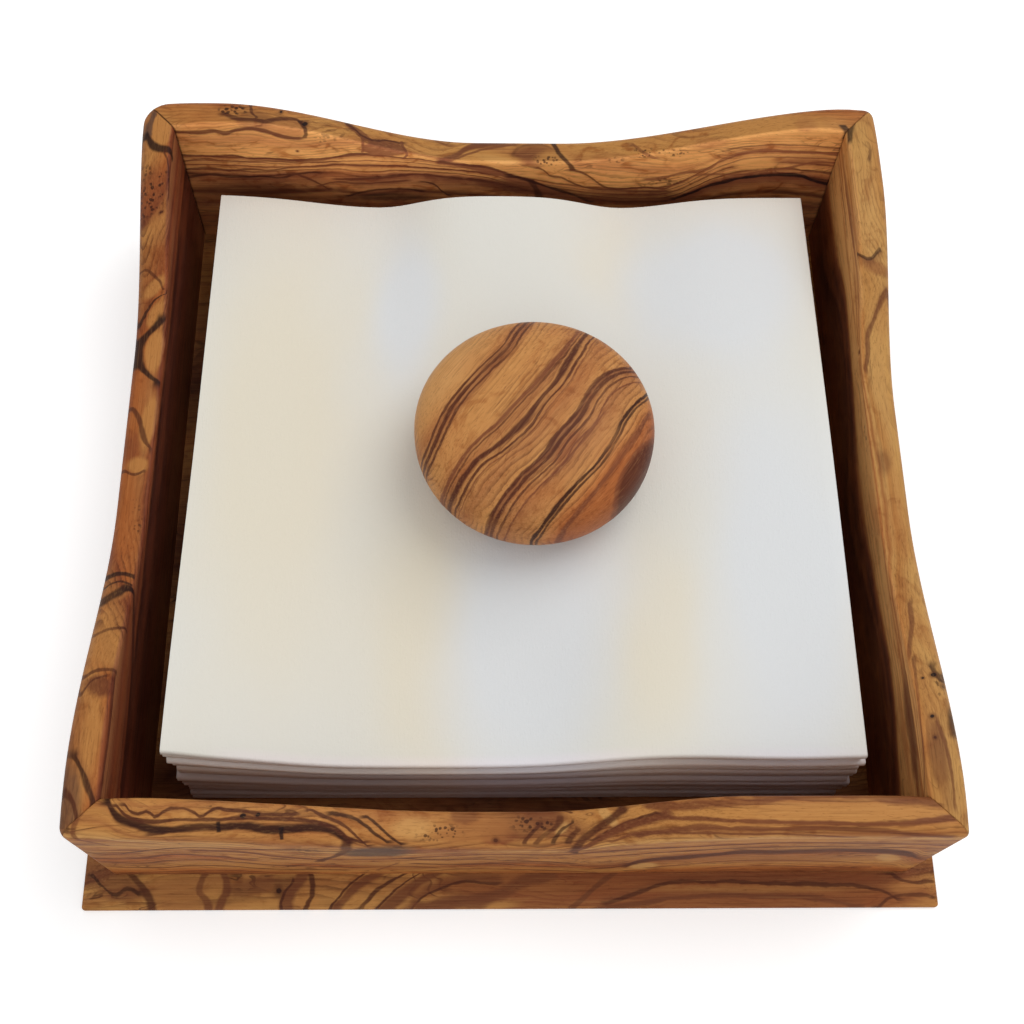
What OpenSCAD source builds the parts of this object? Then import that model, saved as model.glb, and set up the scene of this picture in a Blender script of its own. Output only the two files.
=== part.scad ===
// Square wooden napkin holder. Four mitred walls with a dipped rim stand on a
// wider base board. A stack of folded paper napkins lies inside, and a turned
// wooden weight holds the stack down.
// The origin is at the middle of the base's underside, with +Z up and +Y
// towards the back. All lengths are in millimetres.

/* [Walls] */
// Clearance between the stack of napkins and each wall
side_gap = 10.3; // [8:0.1:30]
// Thickness of a wall at its foot
wall_foot_t = 7.8; // [5.6:0.1:9]
// Thickness of a wall at the height of the rim's peaks
wall_rim_t = 9; // [6.5:0.1:12]
// Height of the rim's peaks beside the corners
peak_h = 57; // [52:0.5:75]
// Height of the front wall's rim at its dip
front_dip_h = 41.5; // [36:0.5:48]
// Height of the back wall's rim at its dip
back_dip_h = 41; // [36:0.5:48]
// Height of the left wall's rim at its dip
left_dip_h = 40; // [36:0.5:48]
// Height of the right wall's rim at its dip
right_dip_h = 43; // [36:0.5:48]
// How far the rim drops again from a peak to the mitre
corner_drop = 1.5; // [0:0.1:4]
// Rounding of the rim's outer edge
rim_outer_r = 3.2; // [1:0.1:3.4]
// Rounding of the rim's inner edge
rim_inner_r = 1.2; // [0.6:0.1:2]
// Rounding of the back left corner at the rim, seen from above
back_left_r = 7; // [1:0.5:10]
// Rounding of the back right corner at the rim, seen from above
back_right_r = 3; // [1:0.5:10]
// Rounding of the front left corner at the rim, seen from above
front_left_r = 3; // [1:0.5:10]
// Rounding of the front right corner at the rim, seen from above
front_right_r = 1.5; // [1:0.5:10]
// Rounding of every corner at the foot of the walls, seen from above
foot_corner_r = 1; // [0.5:0.1:2]

/* [Base board] */
// Thickness of the base board under the walls
base_t = 5.5; // [5:0.1:14]
// Thickness of the base board's outer lip
base_lip_t = 1.5; // [1:0.1:3]
// How far the base board stands out past the foot of the walls
base_margin = 8.1; // [4:0.1:14]

/* [Joinery] */
// Width of a loose spline across its mitre
spline_w = 4.2; // [3:0.1:4.4]
// Thickness of a spline
spline_t = 1.6; // [1:0.1:1.8]
// Length of a spline up the mitre
spline_h = 30; // [16:1:36]
// Height of a spline's lower end above the base board
spline_lift = 8; // [4:1:10]
// Shank diameter of a base screw
screw_d = 3; // [2.4:0.1:3.4]
// Head diameter of a base screw
screw_head_d = 5.8; // [4.8:0.1:6.2]
// Overall length of a base screw
screw_len = 16; // [12:1:22]
// Distance between the two screws of one wall
screw_spacing = 120; // [80:1:150]

/* [Napkins] */
// Side of a napkin folded in quarters
napkin_side = 165; // [150:1:172]
// Thickness of one folded napkin
napkin_t = 1.7; // [1.5:0.05:2.1]
// Air left between one napkin and the next at the back of the stack
napkin_gap = 0.1; // [0.05:0.01:0.2]
// Sideways place of the stack from the tray's middle
stack_x = 0.6; // [-4:0.1:4]
// Place of the stack towards the back from the tray's middle
stack_y = 1.4; // [-4:0.1:4]
// How much higher the stack is at the front, where its folds lie
stack_rise = 10.8; // [4:0.1:14]
// Height of the waves in the top napkin
wave_h = 3; // [1:0.1:4]

/* [Weight] */
// Diameter of the weight
weight_d = 59.5; // [50:0.5:76]
// Height of the weight
weight_h = 29.5; // [20:0.5:40]
// Diameter of the flat that the weight stands on
weight_foot_d = 34; // [24:0.5:40]
// Sideways place of the weight from the tray's middle
weight_x = 5; // [-15:0.5:15]
// Place of the weight towards the back from the tray's middle
weight_y = -2.8; // [-15:0.1:15]

/* [Hidden] */
// Number of napkins in the stack
napkin_count = 16;

// One overrun for all cuts
overrun = 1;
// Clearance all round a spline in its slots
glue_gap = 0.05;
// Clearance all round a screw
screw_gap = 0.04;
// Depth of a screw's head below the underside
screw_recess = 0.3;
// Height of a screw's head and of its pointed tip
screw_head_h = 1.9;
screw_tip_h = 3.5;
screw_tip_d = 0.6;
// Cross recess in a screw's head
drive_w = 2.8;
drive_t = 0.6;
drive_depth = 1.1;
// Gap left between the weight's foot and the top napkin
seat_gap = 0.25;
// Width of the slope from the weight's seat down to a wave's trough
wave_fall = 26;
// Stations along a wall's straight stretch and along each rounded end
wall_steps = 32;
end_steps = 6;
// Share of half the wall that is straight for any rounding in range
straight_share = 0.9;
// Points on the stack's waves and on each half of the weight's outline
wave_steps = 26;
weight_steps = 10;
// How full the weight's side is: 2 is an ellipse, more is squarer
weight_fullness = 2.5;

// Where the rim starts and stops rising from its dip, as shares of half the
// wall, for the two ends of each wall, and where it drops again to the mitre
front_start_shares = [0.06, 0.10];
front_stop_shares = [0.56, 1.00];
back_start_shares = [0.10, 0.14];
back_stop_shares = [0.80, 0.98];
left_start_shares = [0.14, 0.30];
left_stop_shares = [0.86, 1.00];
right_start_shares = [0.14, 0.16];
right_stop_shares = [0.76, 0.90];
drop_start_share = 0.86;

// Angles of the points on the rim's two roundings
inner_angles = [180, 135, 90];
outer_angles = [90, 60, 30, 0];

half_inner = napkin_side / 2 + side_gap;
foot_y = half_inner + wall_foot_t;
screw_y = half_inner + wall_foot_t / 2;
base_half = foot_y + base_margin;
screw_cone_h = screw_head_h * screw_head_d / (screw_head_d - screw_d);
napkin_pitch = napkin_t + napkin_gap;
stack_tilt = asin(stack_rise / napkin_side);
seat_r = weight_foot_d / 2;
// Sideways place of the weight on the stack
seat_x = weight_x - stack_x;
// The half height that gives the weight's lower half its foot
weight_mid_h = weight_h / 2;
foot_share = pow(1 - pow(weight_foot_d / weight_d, weight_fullness), 1 / weight_fullness);
weight_low_h = weight_mid_h / foot_share;
weight_foot_angle = asin(pow(foot_share, weight_fullness / 2));

wood = "#b07a42";
wood_dark = "#8a5528";
wood_light = "#c99556";
paper = "#f2f0ea";
brass = "#b8963e";

function napkin_name(i) = str("napkin_", i < 10 ? "0" : "", i);
function clamp01(v) = max(0, min(1, v));
function ease(v) = let (t = clamp01(v)) t * t * (3 - 2 * t);

// Height of the rim at a share u of the half wall, from -1 to 1
function rim_z(u, dip, starts, stops) =
    let (
        k = u < 0 ? 0 : 1,
        rise = ease((abs(u) - starts[k]) / (stops[k] - starts[k])),
        drop = clamp01((abs(u) - drop_start_share) / (1 - drop_start_share))
    )
    dip + (peak_h - dip) * rise - corner_drop * drop * drop;

// Distance of a wall's outer face from the middle of the tray at a height
function outer_y(z) = foot_y + (wall_rim_t - wall_foot_t) * (z - base_t) / (peak_h - base_t);

// The same distance at a share u of the half wall, where a corner of radius r
// rounds the end: the point of the corner's arc that lies at that share
function rounded_y(u, y, r) =
    let (c = y - r, a = abs(u))
    a * y <= c ? y
    : (c * (1 + a) + sqrt(pow(c * (1 + a), 2) - (1 + a * a) * (2 * c * c - r * r))) / (1 + a * a);

// Shares of the half wall at which its sections stand
function station_shares() = concat(
    [for (k = [0:end_steps - 1]) -1 + (1 - straight_share) * k / end_steps],
    [for (k = [0:wall_steps]) straight_share * (2 * k / wall_steps - 1)],
    [for (k = [1:end_steps]) straight_share + (1 - straight_share) * k / end_steps]
);

// Cross-section of a wall at a share u whose rim is at height z, from the inner
// foot over the rim to the outer foot
function wall_section(u, z, r) =
    let (outer = rounded_y(u, outer_y(z), r) - rim_outer_r)
    concat(
        [[half_inner, base_t]],
        [for (a = inner_angles)
            [half_inner + rim_inner_r + rim_inner_r * cos(a), z - rim_inner_r + rim_inner_r * sin(a)]],
        [for (a = outer_angles)
            [outer + rim_outer_r * cos(a), z - rim_outer_r + rim_outer_r * sin(a)]],
        [[rounded_y(u, foot_y, foot_corner_r), base_t]]
    );

// One wall lying along X at +Y, mitred at both ends. radii are those of its two
// corners at the rim
module wall_body(dip, starts, stops, radii) {
    us = station_shares();
    last = len(us) - 1;
    sections = [for (u = us) wall_section(u, rim_z(u, dip, starts, stops), radii[u < 0 ? 0 : 1])];
    n = len(sections[0]);
    points = [for (j = [0:last]) for (p = sections[j]) [us[j] * p[0], p[0], p[1]]];
    sides = [for (j = [0:last - 1]) for (i = [0:n - 1])
        let (a = j * n + i, b = j * n + (i + 1) % n)
        each [[a, b, b + n], [a, b + n, a + n]]];
    ends = [
        [for (i = [n - 1:-1:0]) i],
        [for (i = [0:n - 1]) last * n + i]
    ];
    polyhedron(points = points, faces = concat(sides, ends));
}

// The space of one spline, or of its slot, on the mitre of the +X +Y corner
module spline_shape(gap) {
    translate([screw_y, screw_y, base_t + spline_lift - gap])
    rotate([0, 0, 45])
    translate([-spline_t / 2 - gap, -spline_w / 2 - gap, 0])
    cube([spline_t + 2 * gap, spline_w + 2 * gap, spline_h + 2 * gap]);
}

// Places what it is given at both screws of the wall at +Y
module at_screws() {
    for (side = [-1, 1])
        translate([side * screw_spacing / 2, screw_y, screw_recess])
        children();
}

// Turns what it is given to all four sides of the tray
module on_four_sides() {
    for (turn = [0:3])
        rotate([0, 0, 90 * turn])
        children();
}

module wall(dip, starts, stops, radii) {
    difference() {
        wall_body(dip, starts, stops, radii);
        spline_shape(glue_gap);
        mirror([1, 0, 0]) spline_shape(glue_gap);
        at_screws()
        cylinder(d = screw_d + 2 * screw_gap, h = screw_len + screw_gap, $fn = 32);
    }
}

module back_wall() {
    color(wood)
    wall(back_dip_h, back_start_shares, back_stop_shares, [back_left_r, back_right_r]);
}

module left_wall() {
    color(wood_dark)
    rotate([0, 0, 90])
    wall(left_dip_h, left_start_shares, left_stop_shares, [front_left_r, back_left_r]);
}

module front_wall() {
    color(wood_light)
    rotate([0, 0, 180])
    wall(front_dip_h, front_start_shares, front_stop_shares, [front_right_r, front_left_r]);
}

module right_wall() {
    color(wood_dark)
    rotate([0, 0, 270])
    wall(right_dip_h, right_start_shares, right_stop_shares, [back_right_r, front_right_r]);
}

// The base board's outline seen from one side, drawn out along the other
module base_prism() {
    rotate([90, 0, 0])
    linear_extrude(height = 2 * base_half, center = true)
    polygon([
        [-base_half, 0],
        [base_half, 0],
        [base_half, base_lip_t],
        [foot_y, base_t],
        [-foot_y, base_t],
        [-base_half, base_lip_t]
    ]);
}

module base_board() {
    color(wood)
    difference() {
        intersection() {
            base_prism();
            rotate([0, 0, 90]) base_prism();
        }
        on_four_sides()
        at_screws() {
            cylinder(d = screw_d + 2 * screw_gap, h = base_t + overrun, $fn = 32);
            translate([0, 0, -screw_recess - overrun])
            cylinder(d = screw_head_d + 2 * screw_gap, h = screw_recess + overrun, $fn = 32);
            cylinder(d1 = screw_head_d + 2 * screw_gap, d2 = 2 * screw_gap, h = screw_cone_h, $fn = 32);
        }
    }
}

module mitre_splines() {
    color(wood_light)
    on_four_sides()
    spline_shape(0);
}

// One countersunk screw standing on its head at the origin
module screw() {
    difference() {
        rotate_extrude($fn = 32)
        polygon([
            [0, 0],
            [screw_head_d / 2, 0],
            [screw_d / 2, screw_head_h],
            [screw_d / 2, screw_len - screw_tip_h],
            [screw_tip_d / 2, screw_len],
            [0, screw_len]
        ]);
        for (turn = [0, 90])
            rotate([0, 0, turn])
            translate([-drive_w / 2, -drive_t / 2, -overrun])
            cube([drive_w, drive_t, drive_depth + overrun]);
    }
}

module base_screws() {
    color(brass)
    on_four_sides()
    at_screws()
    screw();
}

// Share of the wave's height at a distance x from the middle of the stack: full
// under the weight, nothing in the troughs beside it, and full at the sides
function wave_share(x) =
    let (
        d = abs(x - seat_x) - seat_r,
        rest = napkin_side / 2 - seat_r - wave_fall + (x < seat_x ? seat_x : -seat_x)
    )
    d <= 0 ? 1
    : d < wave_fall ? (1 + cos(180 * d / wave_fall)) / 2
    : (1 - cos(180 * (d - wave_fall) / rest)) / 2;

// Carries what it is given to the underside of napkin i, from its back edge
module on_napkin(i) {
    share = (i - 1) / (napkin_count - 1);
    translate([stack_x, stack_y + napkin_side / 2, base_t + napkin_gap + (i - 1) * napkin_pitch])
    rotate([-stack_tilt * share, 0, 0])
    children();
}

module napkin(i) {
    share = (i - 1) / (napkin_count - 1);
    xs = [for (k = [0:wave_steps]) napkin_side * (k / wave_steps - 1 / 2)];
    lower = [for (x = xs) [x, wave_h * share * wave_share(x)]];
    upper = [for (k = [wave_steps:-1:0]) lower[k] + [0, napkin_t]];
    color(paper)
    on_napkin(i)
    rotate([90, 0, 0])
    linear_extrude(height = napkin_side)
    polygon(concat(lower, upper));
}

// Half outline of the weight from its foot over its full side to its top
function weight_outline() =
    let (power = 2 / weight_fullness)
    concat(
        [[0, 0]],
        [for (k = [weight_steps:-1:1]) let (a = weight_foot_angle * k / weight_steps)
            [weight_d / 2 * pow(cos(a), power), weight_mid_h - weight_low_h * pow(sin(a), power)]],
        [for (k = [0:weight_steps - 1]) let (a = 90 * k / weight_steps)
            [weight_d / 2 * pow(cos(a), power), weight_mid_h + weight_mid_h * pow(sin(a), power)]],
        [[0, weight_h]]
    );

module napkin_weight() {
    color(wood_light)
    on_napkin(napkin_count)
    translate([seat_x, weight_y - stack_y - napkin_side / 2, napkin_t + wave_h + seat_gap])
    rotate_extrude($fn = 96)
    polygon(weight_outline());
}

base_board();
front_wall();
back_wall();
left_wall();
right_wall();
mitre_splines();
base_screws();
for (i = [1:napkin_count]) napkin(i);
napkin_weight();
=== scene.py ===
"""Looks of a square wooden napkin holder: olive wood walls with dipped rims, a base board,
folded paper napkins and a turned wooden weight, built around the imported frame."""

from __future__ import annotations

import logging
import math
import random
from dataclasses import dataclass, field, replace
from enum import Enum
from typing import Callable, Sequence

import bmesh
import bpy
from mathutils import Matrix, Vector


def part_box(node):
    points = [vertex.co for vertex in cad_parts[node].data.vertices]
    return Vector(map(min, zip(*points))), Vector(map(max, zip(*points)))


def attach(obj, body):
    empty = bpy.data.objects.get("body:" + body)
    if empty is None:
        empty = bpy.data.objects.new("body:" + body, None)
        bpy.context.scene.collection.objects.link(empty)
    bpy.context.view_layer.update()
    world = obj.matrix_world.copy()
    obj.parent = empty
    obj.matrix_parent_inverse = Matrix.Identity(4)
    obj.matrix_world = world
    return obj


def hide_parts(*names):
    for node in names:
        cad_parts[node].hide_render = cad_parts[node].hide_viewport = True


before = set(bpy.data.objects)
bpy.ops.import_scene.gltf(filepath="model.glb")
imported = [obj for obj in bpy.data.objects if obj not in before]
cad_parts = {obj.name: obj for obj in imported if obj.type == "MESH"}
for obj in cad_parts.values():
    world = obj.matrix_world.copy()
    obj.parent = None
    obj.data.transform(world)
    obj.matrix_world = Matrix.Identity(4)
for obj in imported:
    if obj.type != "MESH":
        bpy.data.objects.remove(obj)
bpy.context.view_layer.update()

LOG = logging.getLogger("napkin_holder")

MM = 0.001
PER_MM = 1 / MM
TINY = 1e-5
UPWARD = 0.9
PLACE_DIGITS = 6
WHITE = (1.0, 1.0, 1.0, 1.0)
IMAGE_SIDE = 1024

Point = tuple[float, float, float]
Spot = tuple[float, float]
Blot = tuple[float, float, float, float]
Rgb = tuple[float, float, float]
Rgba = tuple[float, float, float, float]
Piece = bpy.types.Object
Finish = bpy.types.Material


class Tone(Enum):
    """Colours of the wood, as 8-bit sRGB values."""

    PALE = (204, 155, 88)
    HONEY = (188, 132, 68)
    TAN = (164, 107, 56)
    ORANGE = (168, 98, 46)
    RUSSET = (136, 74, 40)
    BROWN = (114, 64, 37)
    UMBER = (80, 40, 24)
    VEIN = (50, 24, 16)
    SLATE = (80, 62, 52)
    PITCH = (32, 18, 16)


PALE, HONEY, TAN, ORANGE, RUSSET, BROWN, UMBER, VEIN, SLATE, PITCH = Tone


def linear(tone: Tone | Rgb) -> Rgba:
    """Turn an 8-bit sRGB colour into a linear one.

    Args:
        tone: The tone, or its three 8-bit values.

    Returns:
        Red, green, blue and alpha, each from 0 to 1.
    """
    values = tone.value if isinstance(tone, Tone) else tone
    shares = [v / 255 for v in values]
    lin = [s / 12.92 if s <= 0.04045 else ((s + 0.055) / 1.055) ** 2.4 for s in shares]
    return (lin[0], lin[1], lin[2], 1.0)


class Side(Enum):
    """A wall of the tray, with its turn in degrees from the back wall's place."""

    BACK = 0
    LEFT = 90
    FRONT = 180
    RIGHT = 270


def ease(value: float) -> float:
    """Smooth step from 0 to 1."""
    t = min(max(value, 0.0), 1.0)
    return t * t * (3 - 2 * t)


# Modelling with operators


def clear_selection() -> None:
    """Deselect every object."""
    bpy.ops.object.select_all(action="DESELECT")


def take(obj: Piece) -> None:
    """Make one object the selected and active one."""
    clear_selection()
    obj.select_set(True)
    bpy.context.view_layer.objects.active = obj


def settle(obj: Piece) -> None:
    """Bring an object's place, turn and scale into its mesh."""
    take(obj)
    bpy.ops.object.transform_apply(location=True, rotation=True, scale=True)


def added(name: str) -> Piece:
    """Name the object that the last operator added, and settle it.

    Args:
        name: The piece's name.

    Returns:
        The object.
    """
    obj = bpy.context.view_layer.objects.active
    obj.name = name
    obj.data.name = name
    settle(obj)
    return obj


def copied(obj: Piece, offset: Point, turn: float) -> Piece:
    """Copy an object with its own mesh, turned about +Z and moved.

    Args:
        obj: The object to copy.
        offset: How far the copy is moved, in metres.
        turn: Its turn about the origin, in radians, before the move.

    Returns:
        The copy, settled.
    """
    twin = obj.copy()
    twin.data = obj.data.copy()
    bpy.context.scene.collection.objects.link(twin)
    twin.matrix_world = Matrix.Rotation(turn, 4, "Z") @ Matrix.Translation(offset)
    settle(twin)
    return twin


class Bench:
    """Edit mode on one mesh, with elements picked in code by their place."""

    def __init__(self, obj: Piece) -> None:
        """Hold the object that is worked on."""
        self.obj = obj

    def __enter__(self) -> Bench:
        """Go into edit mode with nothing selected."""
        take(self.obj)
        bpy.ops.object.mode_set(mode="EDIT")
        bpy.ops.mesh.select_mode(type="VERT")
        bpy.ops.mesh.select_all(action="DESELECT")
        return self

    def __exit__(self, *_: object) -> None:
        """Go back to object mode."""
        bpy.ops.object.mode_set(mode="OBJECT")

    def _pick(self, kind: str, wanted: Callable[[bmesh.types.BMesh], list]) -> None:
        """Select the wanted elements alone."""
        bpy.ops.mesh.select_mode(type=kind)
        bpy.ops.mesh.select_all(action="DESELECT")
        mesh = bmesh.from_edit_mesh(self.obj.data)
        for element in wanted(mesh):
            element.select_set(True)
        mesh.select_flush_mode()
        bmesh.update_edit_mesh(self.obj.data, loop_triangles=False, destructive=False)

    def vertices(self, test: Callable[[Vector], bool]) -> None:
        """Select the vertices whose place passes a test."""
        self._pick("VERT", lambda m: [v for v in m.verts if test(v.co)])

    def edges(self, test: Callable[[Vector, Vector], bool]) -> None:
        """Select the edges whose two ends pass a test."""
        self._pick("EDGE", lambda m: [e for e in m.edges if test(e.verts[0].co, e.verts[1].co)])

    def faces(self, test: Callable[[Vector, Vector], bool]) -> None:
        """Select the faces whose middle and normal pass a test."""
        self._pick("FACE", lambda m: [f for f in m.faces if test(f.calc_center_median(), f.normal)])

    def everything(self) -> None:
        """Select the whole mesh."""
        bpy.ops.mesh.select_all(action="SELECT")

    def move(self, x: float = 0.0, y: float = 0.0, z: float = 0.0) -> None:
        """Move what is selected."""
        bpy.ops.transform.translate(value=(x, y, z))

    def cut(self, place: Point, normal: Point, clear: bool = False) -> None:
        """Cut the whole mesh by a plane.

        Args:
            place: A point of the plane.
            normal: The plane's normal.
            clear: Whether what lies on the normal's side is removed and the cut closed.
        """
        self.everything()
        bpy.ops.mesh.bisect(plane_co=place, plane_no=normal, use_fill=clear, clear_outer=clear)

    def round_edges(self, width: float, segments: int) -> None:
        """Bevel the selected edges.

        Args:
            width: How far the rounding reaches from the edge, in metres.
            segments: Number of steps round it.
        """
        bpy.ops.mesh.bevel(offset=width, segments=segments, profile=0.5, affect="EDGES", clamp_overlap=False)

    def grow(self, x: float = 0.0, y: float = 0.0, z: float = 0.0) -> None:
        """Extrude what is selected by a step."""
        bpy.ops.mesh.extrude_region_move(TRANSFORM_OT_translate={"value": (x, y, z)})

    def scale(self, share: Point, about: Point) -> None:
        """Scale what is selected about a point."""
        bpy.ops.transform.resize(value=share, center_override=about)

    def tidy(self) -> None:
        """Merge doubles and turn all normals outwards."""
        self.everything()
        bpy.ops.mesh.remove_doubles(threshold=TINY)
        bpy.ops.mesh.normals_make_consistent(inside=False)


def smooth(obj: Piece, angle_deg: float) -> None:
    """Shade an object smooth, apart from its sharp edges."""
    take(obj)
    bpy.ops.object.shade_smooth_by_angle(angle=math.radians(angle_deg))


# Shader arithmetic


Value = "Field | float"
Body = "Callable[[Graph, dict[str, Field]], Field]"


class Field:
    """A shader socket that takes part in Python arithmetic."""

    def __init__(self, graph: Graph, socket: bpy.types.NodeSocket) -> None:
        """Hold a socket and the graph that it belongs to."""
        self.graph = graph
        self.socket = socket

    def __add__(self, other: Value) -> Field:
        """Sum."""
        return self.graph.math("ADD", self, other)

    __radd__ = __add__

    def __sub__(self, other: Value) -> Field:
        """Difference."""
        return self.graph.math("SUBTRACT", self, other)

    def __rsub__(self, other: Value) -> Field:
        """Difference the other way round."""
        return self.graph.math("SUBTRACT", other, self)

    def __mul__(self, other: Value) -> Field:
        """Product."""
        return self.graph.math("MULTIPLY", self, other)

    __rmul__ = __mul__

    def __truediv__(self, other: Value) -> Field:
        """Quotient."""
        return self.graph.math("DIVIDE", self, other)

    def __neg__(self) -> Field:
        """The value with its sign turned."""
        return self * -1.0

    def squared(self) -> Field:
        """The value times itself."""
        return self * self

    def root(self) -> Field:
        """Square root."""
        return self.graph.math("SQRT", self)

    def size(self) -> Field:
        """The value without its sign."""
        return self.graph.math("ABSOLUTE", self)

    def fraction(self) -> Field:
        """What is left of the value past its whole part."""
        return self.graph.math("FRACT", self)

    def rise(self, start: Value, end: Value) -> Field:
        """Smooth step from 0 at start up to 1 at end, which is the larger of the two."""
        values = {0: self, 1: start, 2: end}
        return self.graph.node("MapRange", values, interpolation_type="SMOOTHSTEP", clamp=True)

    def fall(self, start: Value, end: Value) -> Field:
        """Smooth step from 1 at start down to 0 at end, which is the larger of the two."""
        return 1.0 - self.rise(start, end)


class Graph:
    """The nodes of one material or one node group."""

    def __init__(self, tree: bpy.types.NodeTree) -> None:
        """Start with an empty tree."""
        self.tree = tree
        self.nodes = tree.nodes
        self.links = tree.links
        self.nodes.clear()

    def _feed(self, socket: bpy.types.NodeSocket, value: object) -> None:
        """Link a field to a socket, or write a constant into it."""
        if isinstance(value, Field):
            self.links.new(value.socket, socket)
        elif isinstance(value, Tone):
            socket.default_value = linear(value)
        else:
            socket.default_value = value

    def raw(self, kind: str, inputs: dict | None = None, **settings: object) -> bpy.types.Node:
        """Add a node.

        Args:
            kind: The node's type, without its first words.
            inputs: Values or fields by the socket's number or name.
            settings: Properties to set first. "stops" are a ramp's stops and "curve" a float curve's
                points.

        Returns:
            The node.
        """
        node = self.nodes.new("ShaderNode" + kind)
        for key, value in settings.items():
            if key == "stops":
                self._set_stops(node, value)
            elif key == "curve":
                self._set_curve(node, value)
            else:
                setattr(node, key, value)
        for key, value in (inputs or {}).items():
            self._feed(node.inputs[key], value)
        return node

    @staticmethod
    def _set_stops(node: bpy.types.Node, stops: dict[float, Tone]) -> None:
        """Write a colour ramp's stops, from first to last."""
        elements = node.color_ramp.elements
        while len(elements) > 1:
            elements.remove(elements[-1])
        (place, tone), *others = stops.items()
        elements[0].position, elements[0].color = place, linear(tone)
        for place, tone in others:
            elements.new(place).color = linear(tone)

    @staticmethod
    def _set_curve(node: bpy.types.Node, points: Sequence[Spot]) -> None:
        """Write a float curve's points, from left to right."""
        curve = node.mapping.curves[0]
        curve.points[0].location = points[0]
        curve.points[1].location = points[-1]
        for point in points[1:-1]:
            curve.points.new(*point)
        node.mapping.extend = "HORIZONTAL"
        node.mapping.update()

    def node(self, kind: str, inputs: dict | None = None, output: int | str = 0,
             **settings: object) -> Field:
        """Add a node and return one of its outputs."""
        return Field(self, self.raw(kind, inputs, **settings).outputs[output])

    def math(self, operation: str, *values: Value) -> Field:
        """Add a Math node."""
        return self.node("Math", dict(enumerate(values)), operation=operation)

    def vector(self, x: Value, y: Value, z: Value) -> Field:
        """Make a vector of three values."""
        return self.node("CombineXYZ", {0: x, 1: y, 2: z})

    def split(self, vector: Field) -> tuple[Field, ...]:
        """Split a vector into its three values."""
        return tuple(Field(self, out) for out in self.raw("SeparateXYZ", {0: vector}).outputs)

    def mix(self, share: Value, first: object, second: object, mode: str = "MIX") -> Field:
        """Mix two colours.

        Args:
            share: How much of the second colour there is.
            first: A field, a tone or a linear colour.
            second: A field, a tone or a linear colour.
            mode: Name of the blend mode.

        Returns:
            The mixed colour.
        """
        inputs = {0: share, 6: first, 7: second}
        return self.node("Mix", inputs, 2, data_type="RGBA", blend_type=mode, clamp_factor=True)

    def noise(self, place: Field, detail: float = 1.0, roughness: float = 0.5, warp: float = 0.0) -> Field:
        """Noise from -0.5 to 0.5 about 0, one unit of place to a lump."""
        inputs = {"Vector": place, "Scale": 1.0, "Detail": detail, "Roughness": roughness,
                  "Distortion": warp}
        return self.node("TexNoise", inputs, noise_dimensions="3D") - 0.5

    def cells(self, place: Field, spread: float = 1.0) -> Field:
        """Distance to the nearest of scattered points, one unit of place to a cell."""
        inputs = {"Vector": place, "Scale": 1.0, "Randomness": spread}
        return self.node("TexVoronoi", inputs, "Distance", feature="F1")

    def part(self, name: str, body: Body, **inputs: object) -> Field:
        """Add a node group, which is made the first time that it is asked for.

        Args:
            name: The group's name.
            body: Makes the group's output from its own graph and its inputs by name.
            inputs: Values or fields by name. Names that start with "tone" or "color" are colours.

        Returns:
            The group's output.
        """
        tree = bpy.data.node_groups.get(name)
        if tree is None:
            tree = self._shared(name, body, list(inputs))
        node = self.nodes.new("ShaderNodeGroup")
        node.node_tree = tree
        for key, value in inputs.items():
            self._feed(node.inputs[key], value)
        return Field(self, node.outputs[0])

    @staticmethod
    def _shared(name: str, body: Body, names: Sequence[str]) -> bpy.types.NodeTree:
        """Make a node group with the named inputs and one output."""
        tree = bpy.data.node_groups.new(name, "ShaderNodeTree")
        inner = Graph(tree)
        for key in names:
            kind = "NodeSocketColor" if key.startswith(("tone", "color")) else "NodeSocketFloat"
            tree.interface.new_socket(name=key, in_out="INPUT", socket_type=kind)
        source = inner.nodes.new("NodeGroupInput")
        result = body(inner, {key: Field(inner, source.outputs[key]) for key in names})
        is_color = result.socket.type == "RGBA"
        tree.interface.new_socket(name="result", in_out="OUTPUT",
                                  socket_type="NodeSocketColor" if is_color else "NodeSocketFloat")
        sink = inner.nodes.new("NodeGroupOutput")
        inner.links.new(result.socket, sink.inputs[0])
        return tree


class Skin(Graph):
    """The nodes of one material."""

    def __init__(self, name: str) -> None:
        """Start an empty node material."""
        self.material = bpy.data.materials.new(name)
        self.material.use_nodes = True
        super().__init__(self.material.node_tree)

    def surface(self, color: Field | tuple, rough: Value, bumps: Sequence[tuple[Field, float, float]],
                **fixed: float) -> Finish:
        """Finish the material with one Principled shader.

        Args:
            color: Its base colour.
            rough: Its roughness.
            bumps: Heights for Bump nodes, each with its strength and its depth in metres.
            fixed: Constant values of other sockets, with underscores for spaces.

        Returns:
            The material.
        """
        shader = self.raw("BsdfPrincipled", {"Base Color": color, "Roughness": rough})
        for name, value in fixed.items():
            shader.inputs[name.replace("_", " ")].default_value = value
        normal = None
        for height, strength, depth in bumps:
            inputs = {"Height": height, "Strength": strength, "Distance": depth}
            if normal is not None:
                inputs["Normal"] = normal
            normal = self.node("Bump", inputs)
        if normal is not None:
            self._feed(shader.inputs["Normal"], normal)
        self.raw("OutputMaterial", {0: Field(self, shader.outputs[0])})
        return self.material


# Olive wood


Course = dict[float, float]
Core = dict[float, Tone]


@dataclass(frozen=True)
class Guide:
    """A growth layer's place in the core sample, and its places across the board by those along it."""

    value: float
    course: Course


@dataclass(frozen=True)
class Knot:
    """A dark pin knot with rings about it. Sizes are in millimetres."""

    along: float
    across: float
    radius: float = 0.8
    tone: Tone = PITCH


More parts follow.
